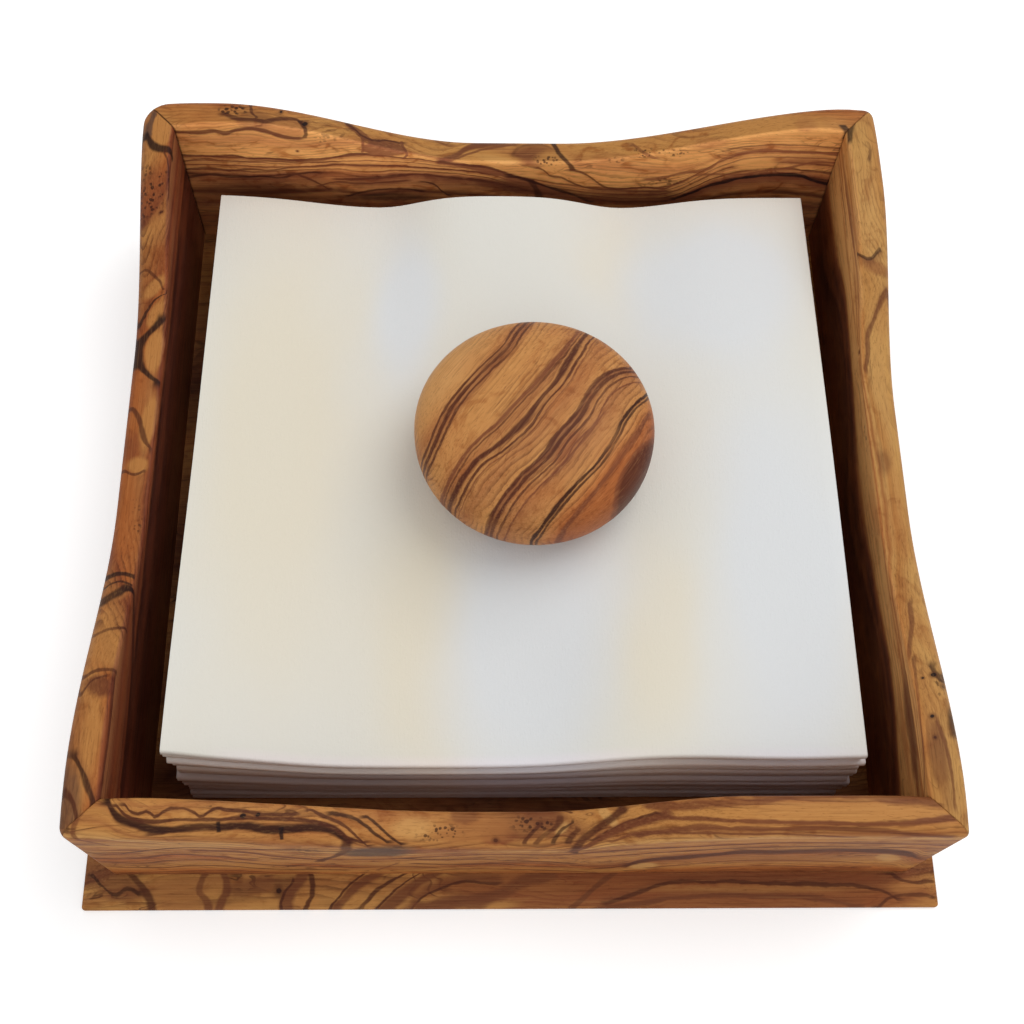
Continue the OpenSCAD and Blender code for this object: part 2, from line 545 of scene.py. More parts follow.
@dataclass(frozen=True)
class Patch:
    """A patch of other colour with an uneven edge, and a line round it. Sizes are in millimetres."""

    along: float
    across: float
    reach_along: float
    reach_across: float
    tone: Tone
    strength: float
    tilt: float
    ragged: float
    soft: float
    edge: Tone = VEIN
    edge_strength: float = 0.0


@dataclass(frozen=True)
class Vein:
    """A dark vein that follows a listed course, with a soft shade on its outer side.

    The course gives places across the board by those along it. That of an upright vein, which crosses
    the board, is the other way round. Sizes are in millimetres.
    """

    course: Course
    width: float
    tone: Tone
    strength: float
    shade: float = 0.0
    shade_reach: float = 1.0
    fade: float = 2.5
    upright: bool = False


@dataclass(frozen=True)
class Specks:
    """A cluster of tiny dark burl specks. Sizes are in millimetres."""

    along: float
    across: float
    reach_along: float
    reach_across: float
    grain: float = 1.2
    strength: float = 0.8


@dataclass(frozen=True)
class Lumps:
    """A noise in the wood, with lumps of a length along the board and a width across it.

    The shift sets it apart from the other noises. Areas drawn with it fade in over its step. Sizes
    are in millimetres.
    """

    length: float
    width: float
    detail: float
    shift: float
    warp: float = 0.0
    step: Spot = (0.0, 1.0)


@dataclass(frozen=True)
class OliveWood:
    """Satin olive wood. The figure is drawn on a plane that runs along the board and across its
    slanting growth layers, in millimetres, so it runs on over the board's edges."""

    name: str
    core: Core
    guides: tuple[Guide, ...]
    turn: float = 0.0
    origin: Point = (0.0, 0.0, 0.0)
    slant: Spot = (1.0, -1.0)
    seed: float = 0.0
    sway: float = 1.2
    ripple: float = 1.2
    jitter: float = 0.32
    lines: float = 40.0
    line_strength: float = 0.6
    curls: float = 6.0
    curl_strength: float = 0.6
    streaks: float = 0.16
    warmth: float = 0.4
    mottle: float = 0.45
    bold: float = 1.3
    tint: Rgb = (255, 255, 255)
    knots: tuple[Knot, ...] = ()
    patches: tuple[Patch, ...] = ()
    veins: tuple[Vein, ...] = ()
    specks: tuple[Specks, ...] = ()
    roughness: float = 0.46
    specular: float = 0.1
    half_length: float = 112.0
    reach: float = 72.0
    # The next three fields paint light and shade: a tint of a wall's inner face, and the size and colour of
    # painted shade on the base board's floor inside the walls.
    inner: Rgb | None = None
    well: float = 0.0
    well_shade: Rgb = (34, 27, 36)
    seams: Spot = (0.0, 0.0)
    seam_width: float = 0.3

    def build(self) -> Finish:
        """Make the material."""
        return Figure(self).finish()


# The figure's noises and measures, in millimetres. A pair is a smooth step's start and end.
RIPPLE = Lumps(7, 4.0, 2.0, 11.0)
JITTER = Lumps(1.7, 1.1, 1.0, 23.0)
SWAY = Lumps(40, 15, 1.0, 0.0)
GROWTH = Lumps(28, 9, 1.0, 5.0)
LINE_AREAS = Lumps(30, 7, 2.0, 31.0, 0.0, (-0.16, 0.12))
CURL = Lumps(17, 6.0, 2.0, 83.0, 0.8)
CURL_AREAS = Lumps(22, 8, 1.0, 91.0, 0.0, (0.02, 0.14))
CLOUD = Lumps(24, 9, 2.0, 41.0, 0.4, (-0.05, 0.28))
BLOTCH = Lumps(7, 4.4, 3.0, 53.0, 1.2, (0.0, 0.2))
THICKNESS = Lumps(9, 9, 1.0, 61.0)
FAINT_AREAS = Lumps(14, 14, 1.0, 67.0, 0.0, (-0.6, 0.0))
SPECK_AREAS = Lumps(3.4, 3.4, 0.0, 71.0, 0.0, (-0.3, -0.08))

GROWTH_WAVE = 3.0
LINE_DARKENS, LINE_ENDS = (0.4, 0.95), (0.97, 1.0)
CURL_LINE = 0.62
CURL_DARKENS, CURL_ENDS, CURL_EDGE = (0.1, 0.6), (0.62, 0.7), (0.03, 0.12)
CURL_SHADE = 0.7
DARK_BLOTCH = (0.02, 0.22)
LIGHT_TINT: Rgb = (90, 56, 26)
DARK_TINT: Rgb = (196, 160, 140)

LEAST_GAP = 0.3
RING_ALONG, RING_ACROSS, RING_RISE = 5, 2.4, 2.6
EYE_RIM, EYE_RIM_STRENGTH = (1.0, 2.6), 0.5
EYE, EYE_STRENGTH = (0.8, 1.2), 0.95
EYE_JITTER = 0.9
OUTLINE = (0.1, 0.55)
WOBBLE_RIPPLE, WOBBLE_JITTER = 2.4, 0.8
FAN_START = (-0.3, 0.3)
VEIN_EDGE = (0.5, 1.3)
THICKNESS_CHANGE = 1.5
SPECK_EDGE, SPECK_FIELD = (0.24, 0.46), (0.5, 1.15)
SPECK_JITTER, SPECK_RIPPLE = 0.9, 0.4
HALVES = (-1.0, 1.0)
SEAM_EDGE, SEAM_RIPPLE = (0.3, 1.6), 0.5

FIBRE, HAIR, PORES = (16, 0.42), (5, 0.16), (1.5, 0.2)
DARK_FIBRE, PALE_FIBRE, PORE_STEP = (0.0, 0.26), (0.0, 0.3), (0.2, 0.3)
DARK_FIBRE_STRENGTH, PORE_STRENGTH = 2.2, 0.3
# Measures of painted light and shade: the band of a wall's inner face that is tinted, and the floor inside
# the walls that is shaded.
INNER_FACE = (0.3, 1.2)
WELL_EDGE, WELL_DEPTH, WELL_SHADE_STRENGTH = 0.5, (5.4, 5.9), 0.9
ROUGH_FIBRE, ROUGH_PORES, ROUGH_CLOUD = 0.12, 0.12, 0.06
RELIEF_FIBRE, RELIEF_HAIR = 0.7, 0.3
RELIEF_STRENGTH, PORE_DEPTH_STRENGTH, RELIEF_M = 0.2, 0.25, 0.00012


class Figure:
    """The drawing of one board's figure in shader nodes. All lengths are in millimetres."""

    def __init__(self, wood: OliveWood) -> None:
        """Set up the board's own coordinates and the noises that the marks share."""
        self.wood = wood
        g = self.g = Skin(wood.name)
        place = g.node("TexCoord", output="Object")
        scale = {"Vector": place, "Rotation": (0.0, 0.0, -wood.turn), "Scale": (PER_MM, PER_MM, PER_MM)}
        x, y, z = g.split(g.node("Mapping", scale, vector_type="POINT"))
        self.along, self.out, self.up = x - wood.origin[0], y - wood.origin[1], z - wood.origin[2]
        self.plain = self.out * wood.slant[0] + self.up * wood.slant[1]
        self.ripple = self.lumps(RIPPLE)
        self.jitter = self.lumps(JITTER)
        wander = self.ripple * wood.ripple + self.jitter * wood.jitter
        self.across = self.plain + wander
        self.beside = self.along + wander

    def lumps(self, noise: Lumps) -> Field:
        """One of the wood's noises, about 0."""
        seed = self.wood.seed
        place = self.g.vector(self.along / noise.length + seed + noise.shift,
                              self.out / noise.width + noise.shift, self.up / noise.width - seed)
        return self.g.noise(place, noise.detail, 0.5, noise.warp)

    def areas(self, noise: Lumps) -> Field:
        """Areas in which one of the wood's noises is high."""
        return self.lumps(noise).rise(*noise.step)

    def strands(self, size: Spot, shift: float, detail: float, roughness: float) -> Field:
        """Fine noise about 0, drawn out along the board to a length and a width."""
        length, width = size
        place = self.g.vector(self.along / length + shift, self.out / width, self.up / width)
        return self.g.noise(place, detail, roughness)

    def read(self, course: Course, place: Field, upright: bool = False) -> Field:
        """Read a course's smooth curve at a place along the board, or across it."""
        wood = self.wood
        run, rise = (wood.reach, wood.half_length) if upright else (wood.half_length, wood.reach)
        spots = [((a + run) / (2 * run), (q + rise) / (2 * rise)) for a, q in sorted(course.items())]
        share = (place + run) / (2 * run)
        return self.g.node("FloatCurve", {0: 1.0, 1: share}, curve=spots) * (2 * rise) - rise

    def distance(self, middle: Spot, reach: Spot, tilt_deg: float = 0.0,
                 across: Field | None = None) -> Field:
        """Distance from a mark's middle, which is 1 on its outline.

        Args:
            middle: Its place along and across the board.
            reach: Its half sizes along and across.
            tilt_deg: Its turn on the board.
            across: The place across the board, if it isn't the wandering one.

        Returns:
            The distance.
        """
        turn = math.radians(tilt_deg)

        def body(_: Graph, f: dict[str, Field]) -> Field:
            """Distance in the mark's own turned frame."""
            da, dq = f["along"] - f["middle_along"], f["across"] - f["middle_across"]
            first = (da * f["cosine"] + dq * f["sine"]) / f["reach_along"]
            second = (dq * f["cosine"] - da * f["sine"]) / f["reach_across"]
            return (first.squared() + second.squared()).root()

        return self.g.part("mark_distance", body, along=self.along, across=across or self.across,
                           middle_along=middle[0], middle_across=middle[1], reach_along=reach[0],
                           reach_across=reach[1], cosine=math.cos(turn), sine=math.sin(turn))

    def layers(self) -> Field:
        """Place in the core sample, which runs from one guide to the next, and rises over knots."""

        def span(graph: Graph, f: dict[str, Field]) -> Field:
            """Share of the way from one guide to the next, times the step in the core sample."""
            gap = graph.math("MAXIMUM", f["high"] - f["low"], LEAST_GAP)
            share = graph.node("Clamp", {0: (f["layer"] - f["low"]) / gap})
            return share * f["step"]

        wood = self.wood
        layer = self.across + self.lumps(SWAY) * wood.sway
        for knot in wood.knots:
            reach = (knot.radius * RING_ALONG, knot.radius * RING_ACROSS)
            ring = self.distance((knot.along, knot.across), reach, 0, self.plain)
            layer = layer + self.g.math("EXPONENT", -ring.squared()) * (knot.radius * RING_RISE)
        total: Field | float = wood.guides[0].value
        low = self.read(wood.guides[0].course, self.along)
        for before, guide in zip(wood.guides, wood.guides[1:]):
            high = self.read(guide.course, self.along)
            step = guide.value - before.value
            total = self.g.part("guide_span", span, layer=layer, low=low, high=high, step=step) + total
            low = high
        return total

    def ground(self) -> Field:
        """The board's colour before its single marks: layers, growth lines and mottling."""
        g, wood = self.g, self.wood
        share = self.layers()
        color = g.node("ValToRGB", {0: share}, stops=wood.core)
        growth = (share * wood.lines + self.lumps(GROWTH) * GROWTH_WAVE).fraction()
        line = growth.rise(*LINE_DARKENS) * growth.fall(*LINE_ENDS)
        color = g.mix(line * self.areas(LINE_AREAS) * wood.line_strength, color, UMBER)
        curl = (self.lumps(CURL) * wood.curls).fraction()
        here = self.areas(CURL_AREAS) * wood.curl_strength
        shade = curl.rise(*CURL_DARKENS) * curl.fall(*CURL_ENDS) * here * CURL_SHADE
        color = g.mix(shade, color, BROWN)
        color = g.mix((curl - CURL_LINE).size().fall(*CURL_EDGE) * here, color, VEIN)
        self.cloud = self.lumps(CLOUD)
        color = g.mix(self.cloud.rise(*CLOUD.step) * wood.warmth, color, ORANGE)
        blotch = self.lumps(BLOTCH)
        color = g.mix(blotch.rise(*BLOTCH.step) * wood.mottle, color, linear(LIGHT_TINT), "SCREEN")
        dark = (-blotch).rise(*DARK_BLOTCH) * wood.mottle
        return g.mix(dark, color, linear(DARK_TINT), "MULTIPLY")

    def add_patch(self, color: Field, patch: Patch) -> Field:
        """Lay one patch over a colour."""

        def body(graph: Graph, f: dict[str, Field]) -> Field:
            """Fill inside the ragged outline, and a line along it."""
            ring = f["ring"] + f["wobble"] * f["ragged"]
            inner = ring.fall(1.0 - f["soft"], 1.0 + f["soft"])
            filled = graph.mix(inner * f["strength"], f["color"], f["tone"])
            line = (ring - 1.0).size().fall(f["thin"], f["wide"])
            return graph.mix(line * f["edge_strength"], filled, f["tone_edge"])

        small = min(patch.reach_along, patch.reach_across)
        thin, wide = (width / small for width in OUTLINE)
        ring = self.distance((patch.along, patch.across), (patch.reach_along, patch.reach_across),
                             patch.tilt)
        return self.g.part(
            "wood_patch", body, color=color, ring=ring, wobble=self.wobble, ragged=patch.ragged / small,
            soft=patch.soft, strength=patch.strength, tone=patch.tone, tone_edge=patch.edge,
            edge_strength=patch.edge_strength, thin=thin, wide=wide)

    def add_vein(self, color: Field, vein: Vein) -> Field:
        """Lay one vein over a colour."""

        def body(graph: Graph, f: dict[str, Field]) -> Field:
            """A dark line with a soft shade on its far side, between two ends."""
            gap = f["moved"] - f["course"]
            there = f["read"].rise(f["first"], f["start"]) * f["read"].fall(f["end"], f["last"])
            fan = gap.fall(0.0, f["shade_reach"]) * gap.rise(*FAN_START)
            shaded = graph.mix(fan * there * f["shade"], f["color"], BROWN)
            line = (gap.size() / (f["thick"] * f["width"])).fall(*VEIN_EDGE)
            return graph.mix(line * there * f["faint"] * f["strength"], shaded, f["tone"])

        if vein.upright:
            moved, read, plain = self.beside, self.across, self.plain
        else:
            moved, read, plain = self.across, self.along, self.along
        ends = sorted(vein.course)
        return self.g.part(
            "wood_vein", body, color=color, moved=moved, read=read, thick=self.thick, faint=self.faint,
            course=self.read(vein.course, plain, vein.upright), first=ends[0] - vein.fade, start=ends[0],
            end=ends[-1], last=ends[-1] + vein.fade, width=vein.width * self.wood.bold, tone=vein.tone,
            strength=vein.strength, shade=vein.shade, shade_reach=vein.shade_reach)

    def add_specks(self, color: Field, cluster: Specks) -> Field:
        """Lay one cluster of specks over a colour."""
        g = self.g
        near = self.distance((cluster.along, cluster.across), (cluster.reach_along, cluster.reach_across))
        grid = g.vector(self.along / cluster.grain, self.out / cluster.grain, self.up / cluster.grain)
        cells = g.cells(grid) + self.jitter * SPECK_JITTER + self.ripple * SPECK_RIPPLE
        dots = cells.fall(*SPECK_EDGE) * self.gate
        return g.mix(dots * near.fall(*SPECK_FIELD) * cluster.strength, color, VEIN)

    def add_knot(self, color: Field, knot: Knot) -> Field:
        """Lay one pin knot over a colour."""
        g = self.g
        eye = self.distance((knot.along, knot.across), (knot.radius, knot.radius), 0, self.plain)
        eye = eye + self.jitter * EYE_JITTER
        color = g.mix(eye.fall(*EYE_RIM) * EYE_RIM_STRENGTH, color, UMBER)
        return g.mix(eye.fall(*EYE) * EYE_STRENGTH, color, knot.tone)

    def add_seams(self, color: Field) -> Field:
        """Lay the dark glue lines of the board's two mitres over a colour."""
        left, right = self.wood.seams
        thin, wide = (self.wood.seam_width * share for share in SEAM_EDGE)
        gap = (self.out + self.wood.origin[1] - self.along.size()).size() + self.ripple * SEAM_RIPPLE
        there = self.along.fall(*HALVES) * left + self.along.rise(*HALVES) * right
        return self.g.mix(gap.fall(thin, wide) * there, color, VEIN)

    def marked(self, color: Field) -> Field:
        """Lay all of the board's marks over a colour, one after another."""
        wood = self.wood
        self.wobble = self.ripple * WOBBLE_RIPPLE + self.jitter * WOBBLE_JITTER
        self.thick = self.lumps(THICKNESS) * THICKNESS_CHANGE + 1.0
        self.faint = self.areas(FAINT_AREAS)
        self.gate = self.areas(SPECK_AREAS)
        for patch in wood.patches:
            color = self.add_patch(color, patch)
        for vein in wood.veins:
            color = self.add_vein(color, vein)
        for cluster in wood.specks:
            color = self.add_specks(color, cluster)
        for knot in wood.knots:
            color = self.add_knot(color, knot)
        return self.add_seams(color) if max(wood.seams) else color

    def tinted(self, color: Field) -> Field:
        """Tint the whole board, paint light and shade on its inner face, and paint shade on the floor
        between the walls.
        """
        g, wood = self.g, self.wood
        color = g.mix(1.0, color, linear(wood.tint), "MULTIPLY")
        # Painted light and shade on the inner face, as a multiply tint.
        if wood.inner:
            color = g.mix(self.out.size().fall(*INNER_FACE), color, linear(wood.inner), "MULTIPLY")
        # Painted shade on the base board's floor inside the walls, between the walls and the napkins.
        if wood.well:
            end = wood.well + WELL_EDGE
            floor = self.along.size().fall(wood.well, end) * self.out.size().fall(wood.well, end)
            share = floor * self.up.rise(*WELL_DEPTH) * WELL_SHADE_STRENGTH
            color = g.mix(share, color, linear(wood.well_shade), "MULTIPLY")
        return color

    def finish(self) -> Finish:
        """Draw all marks, the fibres and the pores, and make the material."""
        g, wood = self.g, self.wood
        color = self.marked(self.ground())
        fibre = self.strands(FIBRE, wood.seed, 3.0, 0.6)
        hair = self.strands(HAIR, -wood.seed, 1.0, 0.5)
        pores = self.strands(PORES, 0.0, 0.0, 0.5).rise(*PORE_STEP)
        dark = fibre.rise(*DARK_FIBRE) * (wood.streaks * DARK_FIBRE_STRENGTH)
        color = g.mix(dark, color, UMBER, "MULTIPLY")
        color = g.mix((-fibre).rise(*PALE_FIBRE) * wood.streaks, color, PALE, "SCREEN")
        color = self.tinted(g.mix(pores * PORE_STRENGTH, color, UMBER))
        rough = wood.roughness + fibre * ROUGH_FIBRE + pores * ROUGH_PORES
        rough = rough + self.cloud * ROUGH_CLOUD
        bumps = [(fibre * RELIEF_FIBRE + hair * RELIEF_HAIR, RELIEF_STRENGTH, RELIEF_M),
                 (-pores, PORE_DEPTH_STRENGTH, RELIEF_M)]
        return g.surface(color, rough, bumps, Specular_IOR_Level=wood.specular)


def level(across: float) -> Course:
    """A straight course along the board at one place across it."""
    return {-110.0: across, 110.0: across}


def crossing(course: Course, width: float, tone: Tone, strength: float, fade: float, shade: float = 0.0,
             shade_reach: float = 1.0) -> Vein:
    """A vein that crosses the board, with its sizes in millimetres."""
    return Vein(course, width, tone, strength, shade, shade_reach, fade, True)


def beside(course: Course, step: float) -> Course:
    """A course at a step to one side of another."""
    return {along: across + step for along, across in course.items()}


LEVEL_CORE = {0.0: HONEY, 0.3: PALE, 0.35: TAN, 0.6: HONEY, 0.65: BROWN, 1.0: TAN}


# The front wall's board: a dark hooked vein on one half and a pale arched lens on the other

FRONT_GUIDES = (
    Guide(0.00, level(-63)),
    Guide(0.25, {105: -53, 92: -54.5, 88: -51.5, 81: -48, 72: -47.2, 60: -45.3, 50: -42.8, 41: -40, 36: -35,
        30: -31, 20: -30, 8: -31, 0: -31, -8: -32, -14: -34, -20: -40, -28: -44.5, -36: -48, -50: -50.8,
        -70: -50.4, -90: -50.5, -105: -51}),
    Guide(0.45, {105: -40, 90: -38, 84: -36, 75: -32, 64: -29, 56: -23, 48: -19, 40: -18, 30: -19, 20: -22,
        8: -25, 0: -25, -10: -24, -20: -28, -30: -32, -40: -34.5, -50: -36.5, -60: -38.5, -75: -38,
        -90: -36.5, -105: -35}),
    Guide(0.65, {105: -22, 92: -20, 86: -22, 80: -26, 72: -24, 66: -20, 60: -16, 50: -12, 40: -10, 20: -10,
        0: -12, -12: -10, -22: -7, -27: -10, -32: -16, -40: -20, -48: -25, -56: -28, -64: -27, -75: -29.5,
        -85: -28.7, -93: -25, -98: -16, -105: -12}),
    Guide(1.00, level(8)),
)
FRONT_CORE = {
    0.00: TAN, 0.06: BROWN, 0.09: HONEY, 0.14: HONEY, 0.15: TAN, 0.19: HONEY, 0.235: HONEY,
    0.25: TAN, 0.275: HONEY, 0.30: TAN, 0.32: HONEY, 0.36: PALE, 0.385: TAN, 0.41: HONEY,
    0.44: TAN, 0.46: BROWN, 0.475: HONEY, 0.53: TAN, 0.56: HONEY, 0.62: TAN, 0.645: BROWN,
    0.665: ORANGE, 0.72: TAN, 0.80: HONEY, 0.88: ORANGE, 0.94: BROWN, 1.00: RUSSET,
}
FRONT_VEINS = (
    Vein({91: -55, 88: -51.6, 84: -49.6, 81: -48, 78: -47.5, 72: -47.2, 66: -46.3, 60: -45.3, 56: -43.6,
        50: -42.8, 45: -42, 41: -40, 38.4: -37}, 0.85, VEIN, 0.95, 0.4, 1.8),
    Vein({89: -54.5, 84.5: -51, 80: -50, 76: -50, 70: -48.9, 64: -48, 60: -47.5, 55: -46.2, 50: -45,
        45: -43.3, 42: -41.5, 38: -38, 35: -36}, 0.34, UMBER, 0.9, 0.3, 1.4),
    Vein({87: -55, 84: -52.4, 82: -53, 80.5: -51.3, 78: -52.5, 75: -52.6, 72: -51, 70.5: -49.8, 68: -51,
        65: -50.3, 60: -49, 56: -47.6, 50.5: -46.4}, 0.3, UMBER, 0.9, 0.3, 1.2),
    Vein({47: -46.8, 43: -44, 40: -42, 37: -39, 35: -36, 34: -34}, 0.3, UMBER, 0.85, 0.25, 1.2),
    Vein({42: -45, 38: -43.4, 35: -41, 32: -38, 29.5: -35}, 0.35, VEIN, 0.85, 0.3, 1.2),
    Vein({34.5: -42.8, 31: -39.5, 29: -37, 26.5: -34.3}, 0.3, VEIN, 0.85, 0.3, 1.2),
    crossing({-37: 38.4, -34: 38.8, -31: 39.4, -27: 40.5, -23: 42.5, -19.5: 45, -16: 47}, 0.8, UMBER, 0.85,
        1.5),
    crossing({-47.6: 66.8, -45.2: 66.6}, 0.35, PITCH, 0.9, 0.6),
    crossing({-43.4: 53.2, -40.2: 53}, 0.35, PITCH, 0.9, 0.6),
    crossing({-56: 93, -51.6: 97, -47: 98, -42: 95.4, -38: 92}, 0.4, BROWN, 0.7, 1.0, 0.3, 2.0),
    Vein({74: -31, 68: -30.2, 64: -29, 60: -26.6, 56: -23.2, 50: -20}, 0.8, BROWN, 0.8, 0.35, 2.0),
    Vein({87: -21.5, 83: -25, 80: -26.1, 76: -25.6, 72: -24, 68: -22.5, 66: -20, 63: -18}, 0.7, BROWN,
        0.85, 0.3, 1.6),
    crossing({-26: -14, -32: -14.2, -35.5: -15.5, -38: -17.5, -40.6: -20, -44: -23, -46.4: -25}, 0.75,
        UMBER, 0.9, 1.0),
    Vein({-13.4: -27.6, -17: -34, -20: -38, -24: -41.4, -29: -45, -34: -48.6}, 0.9, BROWN, 0.95, 0.5, 2.6),
    Vein({-17.6: -36, -21.6: -40, -26.6: -44, -31.6: -48}, 0.3, UMBER, 0.85),
    crossing({-33.6: -2, -35.6: -3, -38.4: -6}, 0.45, UMBER, 0.8, 1.2),
    crossing({-33.4: -4.4, -36: -6.6, -38: -9.4, -40.4: -10.6}, 0.6, UMBER, 0.7, 1.2),
    crossing({-33.6: -8.4, -36: -9.4, -39.6: -13.4}, 0.35, VEIN, 0.75, 1.2),
    crossing({-33.8: -12, -35.6: -12.6, -38: -14.6}, 0.5, UMBER, 0.8, 1.2),
    Vein({-30: -49, -36: -51, -45: -54, -55: -55.9, -62: -56.5, -72: -57, -85: -56, -98: -53.4}, 0.8,
        BROWN, 0.8),
    Vein({-20: -38, -28: -44.4, -36: -48, -45: -50, -55: -51, -66: -50.6, -80: -50.2, -100: -51}, 0.4,
        BROWN, 0.85, 0.25, 1.2),
    Vein({-28: -40.4, -36: -45, -45: -48, -60: -49, -75: -48.7, -85: -47.4, -92: -46, -97: -45}, 0.6,
        BROWN, 0.8, 0.3, 2.6),
    Vein({-22: -36.4, -28: -41, -40: -45, -55: -46.9, -65: -46.5, -75: -45}, 0.35, BROWN, 0.75, 0.2, 1.2),
    Vein({-18: -27, -28: -31, -40: -34, -50: -36.6, -60: -38.6, -75: -38, -88: -37}, 0.5, BROWN, 0.6, 0.2,
        2.0),
    Vein({-28: -9, -30: -13.6, -34: -17.6, -40: -20, -48: -24, -55: -27, -62: -26.4, -68: -27.6, -75: -28.4,
        -82: -28, -88: -27, -92: -25, -95: -21}, 2.0, UMBER, 0.85, 0.4, 5.0),
    Vein({-21: -4.6, -26: -7, -29: -11}, 0.6, UMBER, 0.8),
    crossing({-3: 34, -8: 31, -13: 28.4}, 0.5, BROWN, 0.8, 1.5),
    Vein({100: -30, 94: -27, 88: -29.5, 80: -33.6, 72: -34.6, 64: -32.6, 56: -32, 48: -30.6, 42: -29}, 0.3,
        UMBER, 0.85, 0.4, 2.0),
    Vein({98: -17, 90: -14.5, 82: -18, 74: -18.6, 66: -15, 58: -11, 50: -9.4, 40: -7.6, 30: -8.4, 20: -7},
        0.3, UMBER, 0.8, 0.5, 2.4),
    Vein({96: -9, 86: -8, 78: -11, 70: -10, 62: -6, 52: -4.6, 42: -3.4}, 0.35, UMBER, 0.8, 0.4, 2.0),
    Vein({92: -1, 82: -2.6, 72: -4, 62: -1, 50: 0.6}, 0.4, BROWN, 0.8, 0.4, 2.0),
    Vein({26: -20, 18: -17.6, 8: -18.4, 0: -16, -8: -14.4, -14: -12}, 0.35, UMBER, 0.85, 0.5, 2.6),
    Vein({24: -13, 14: -10.6, 4: -11.4, -4: -8.4, -12: -7}, 0.3, UMBER, 0.8, 0.4, 2.0),
    Vein({20: -2, 10: -4.6, 0: -3.4, -10: -1.6, -20: 1}, 0.4, BROWN, 0.85, 0.4, 2.0),
    Vein({-20: -21, -30: -25, -42: -29, -54: -32.4, -66: -33.4, -80: -33, -94: -31}, 0.3, UMBER, 0.85, 0.3,
        1.6),
    Vein({-34: -5, -44: -11, -56: -15.4, -70: -15, -84: -12}, 0.35, BROWN, 0.8, 0.4, 2.4),
    Vein({-50: -5, -60: -7.6, -72: -6.4, -86: -4}, 0.3, BROWN, 0.8, 0.4, 2.0),
)
FRONT_PATCHES = (
    Patch(32, -28, 9, 5.6, SLATE, 0.85, 8, 1.2, 0.3),
    Patch(17, -28, 9, 4.4, RUSSET, 0.5, 0, 0.9, 0.5),
    Patch(4, -35, 4, 1.8, RUSSET, 0.8, 10, 0.6, 0.4),
    Patch(-4, -38, 12, 3.8, BROWN, 0.7, 0, 0.9, 0.4),
    Patch(-10.6, -37.6, 2.2, 0.9, PALE, 0.7, 50, 0.3, 0.4),
    Patch(-6.4, -35.4, 2.0, 0.7, HONEY, 0.8, 50, 0.3, 0.4),
    Patch(-46, -21, 8, 4, RUSSET, 0.6, -20, 0.8, 0.4),
    Patch(-32, -8, 3.4, 4.6, PALE, 0.8, 0, 0.7, 0.3),
    Patch(-90, -18.5, 2.6, 5.6, PALE, 0.7, 25, 0.6, 0.3),
    Patch(80, -46.6, 2.4, 0.9, UMBER, 0.8, 10, 0.3, 0.4),
    Patch(-80, -46.2, 14, 1.8, RUSSET, 0.4, 3, 0.6, 0.5),
    Patch(-76, -53, 24, 2.2, HONEY, 0.85, 0, 0.4, 0.3),
    Patch(-5, -42, 6, 3.4, BROWN, 0.6, -30, 0.9, 0.4),
    Patch(-20.6, -43.6, 3.4, 1.2, PALE, 0.8, -40, 0.4, 0.3),
    Patch(10, -37, 9, 3.6, TAN, 0.8, 10, 0.8, 0.4),
    Patch(12, -41, 3.4, 1.8, BROWN, 0.6, -20, 0.9, 0.4),
    Patch(-40, -49.4, 14, 1.7, HONEY, 0.85, 16, 0.4, 0.3),
    Patch(-70, -42, 22, 2.0, HONEY, 0.6, 0, 0.6, 0.4),
    Patch(-60, -17, 22, 5, TAN, 0.8, 0, 0.6, 0.4),
    Patch(80, -36, 16, 3.4, PALE, 0.5, -8, 0.8, 0.4),
    Patch(66, -14, 14, 4.4, HONEY, 0.6, 0, 1.0, 0.4),
    Patch(24, -12, 12, 4.4, HONEY, 0.6, 10, 1.0, 0.4),
    Patch(24, -38.4, 4.6, 2.4, PALE, 0.6, 0, 0.5, 0.4),
    Patch(92, -27, 4.5, 2.0, RUSSET, 0.6, 10, 0.8, 0.5),
)
FRONT_BOARD = OliveWood(
    "front_olive", FRONT_CORE, FRONT_GUIDES, slant=(1.0, -1.0), seed=3.1, veins=FRONT_VEINS,
    patches=FRONT_PATCHES, knots=(Knot(61.5, -48.4, 0.65), Knot(58.3, -48.0, 0.45),
    Knot(4.6, -34.4, 0.6, UMBER)), specks=(Specks(17.5, -36.6, 6, 2.6, 1.0),
    Specks(48.5, -29, 4, 7, 1.6, 0.55), Specks(-4, -38.6, 6, 2.4, 1.1), Specks(68.5, -51.2, 1.8, 1.2, 0.8)),
    seams=(0.1, 0.15), line_strength=0.6, mottle=0.6, bold=1.5, tint=(254, 249, 257),
)

# The back wall's board: burl figure along the rim over a flow of dark wavy layers

BACK_GUIDES = (
    Guide(0.00, level(-68)),
    Guide(0.30, {-105: -54, -90: -54, -82: -54, -72: -55.4, -60: -51.2, -45: -53, -30: -47, -19: -43.5,
        -12: -46, -4: -48, 8: -49, 20: -46, 35: -43, 45: -42, 52: -42, 60: -46, 70: -49.4, 85: -49.5,
        105: -48}),
    Guide(0.50, {-105: -43.5, -85: -43, -74: -42.4, -62: -41.8, -50: -42.8, -42: -44, -30: -43, -19: -41.3,
        -10: -39.8, 0: -35.5, 8: -33, 18: -31, 28: -29.6, 38: -30, 47: -31, 55: -37.6, 60: -42.6, 67: -46.4,
        80: -47, 105: -45.5}),
    Guide(0.72, {-105: -34, -86: -34.8, -72: -34, -62: -35, -50: -35.5, -42: -33.4, -30: -35, -18: -34,
        -8: -32.5, 2: -29, 10: -27, 20: -25, 35: -23, 48: -24, 54: -28, 60: -32, 68: -35, 80: -36.3, 86: -35,
        105: -30}),
    Guide(1.00, level(-4)),
)
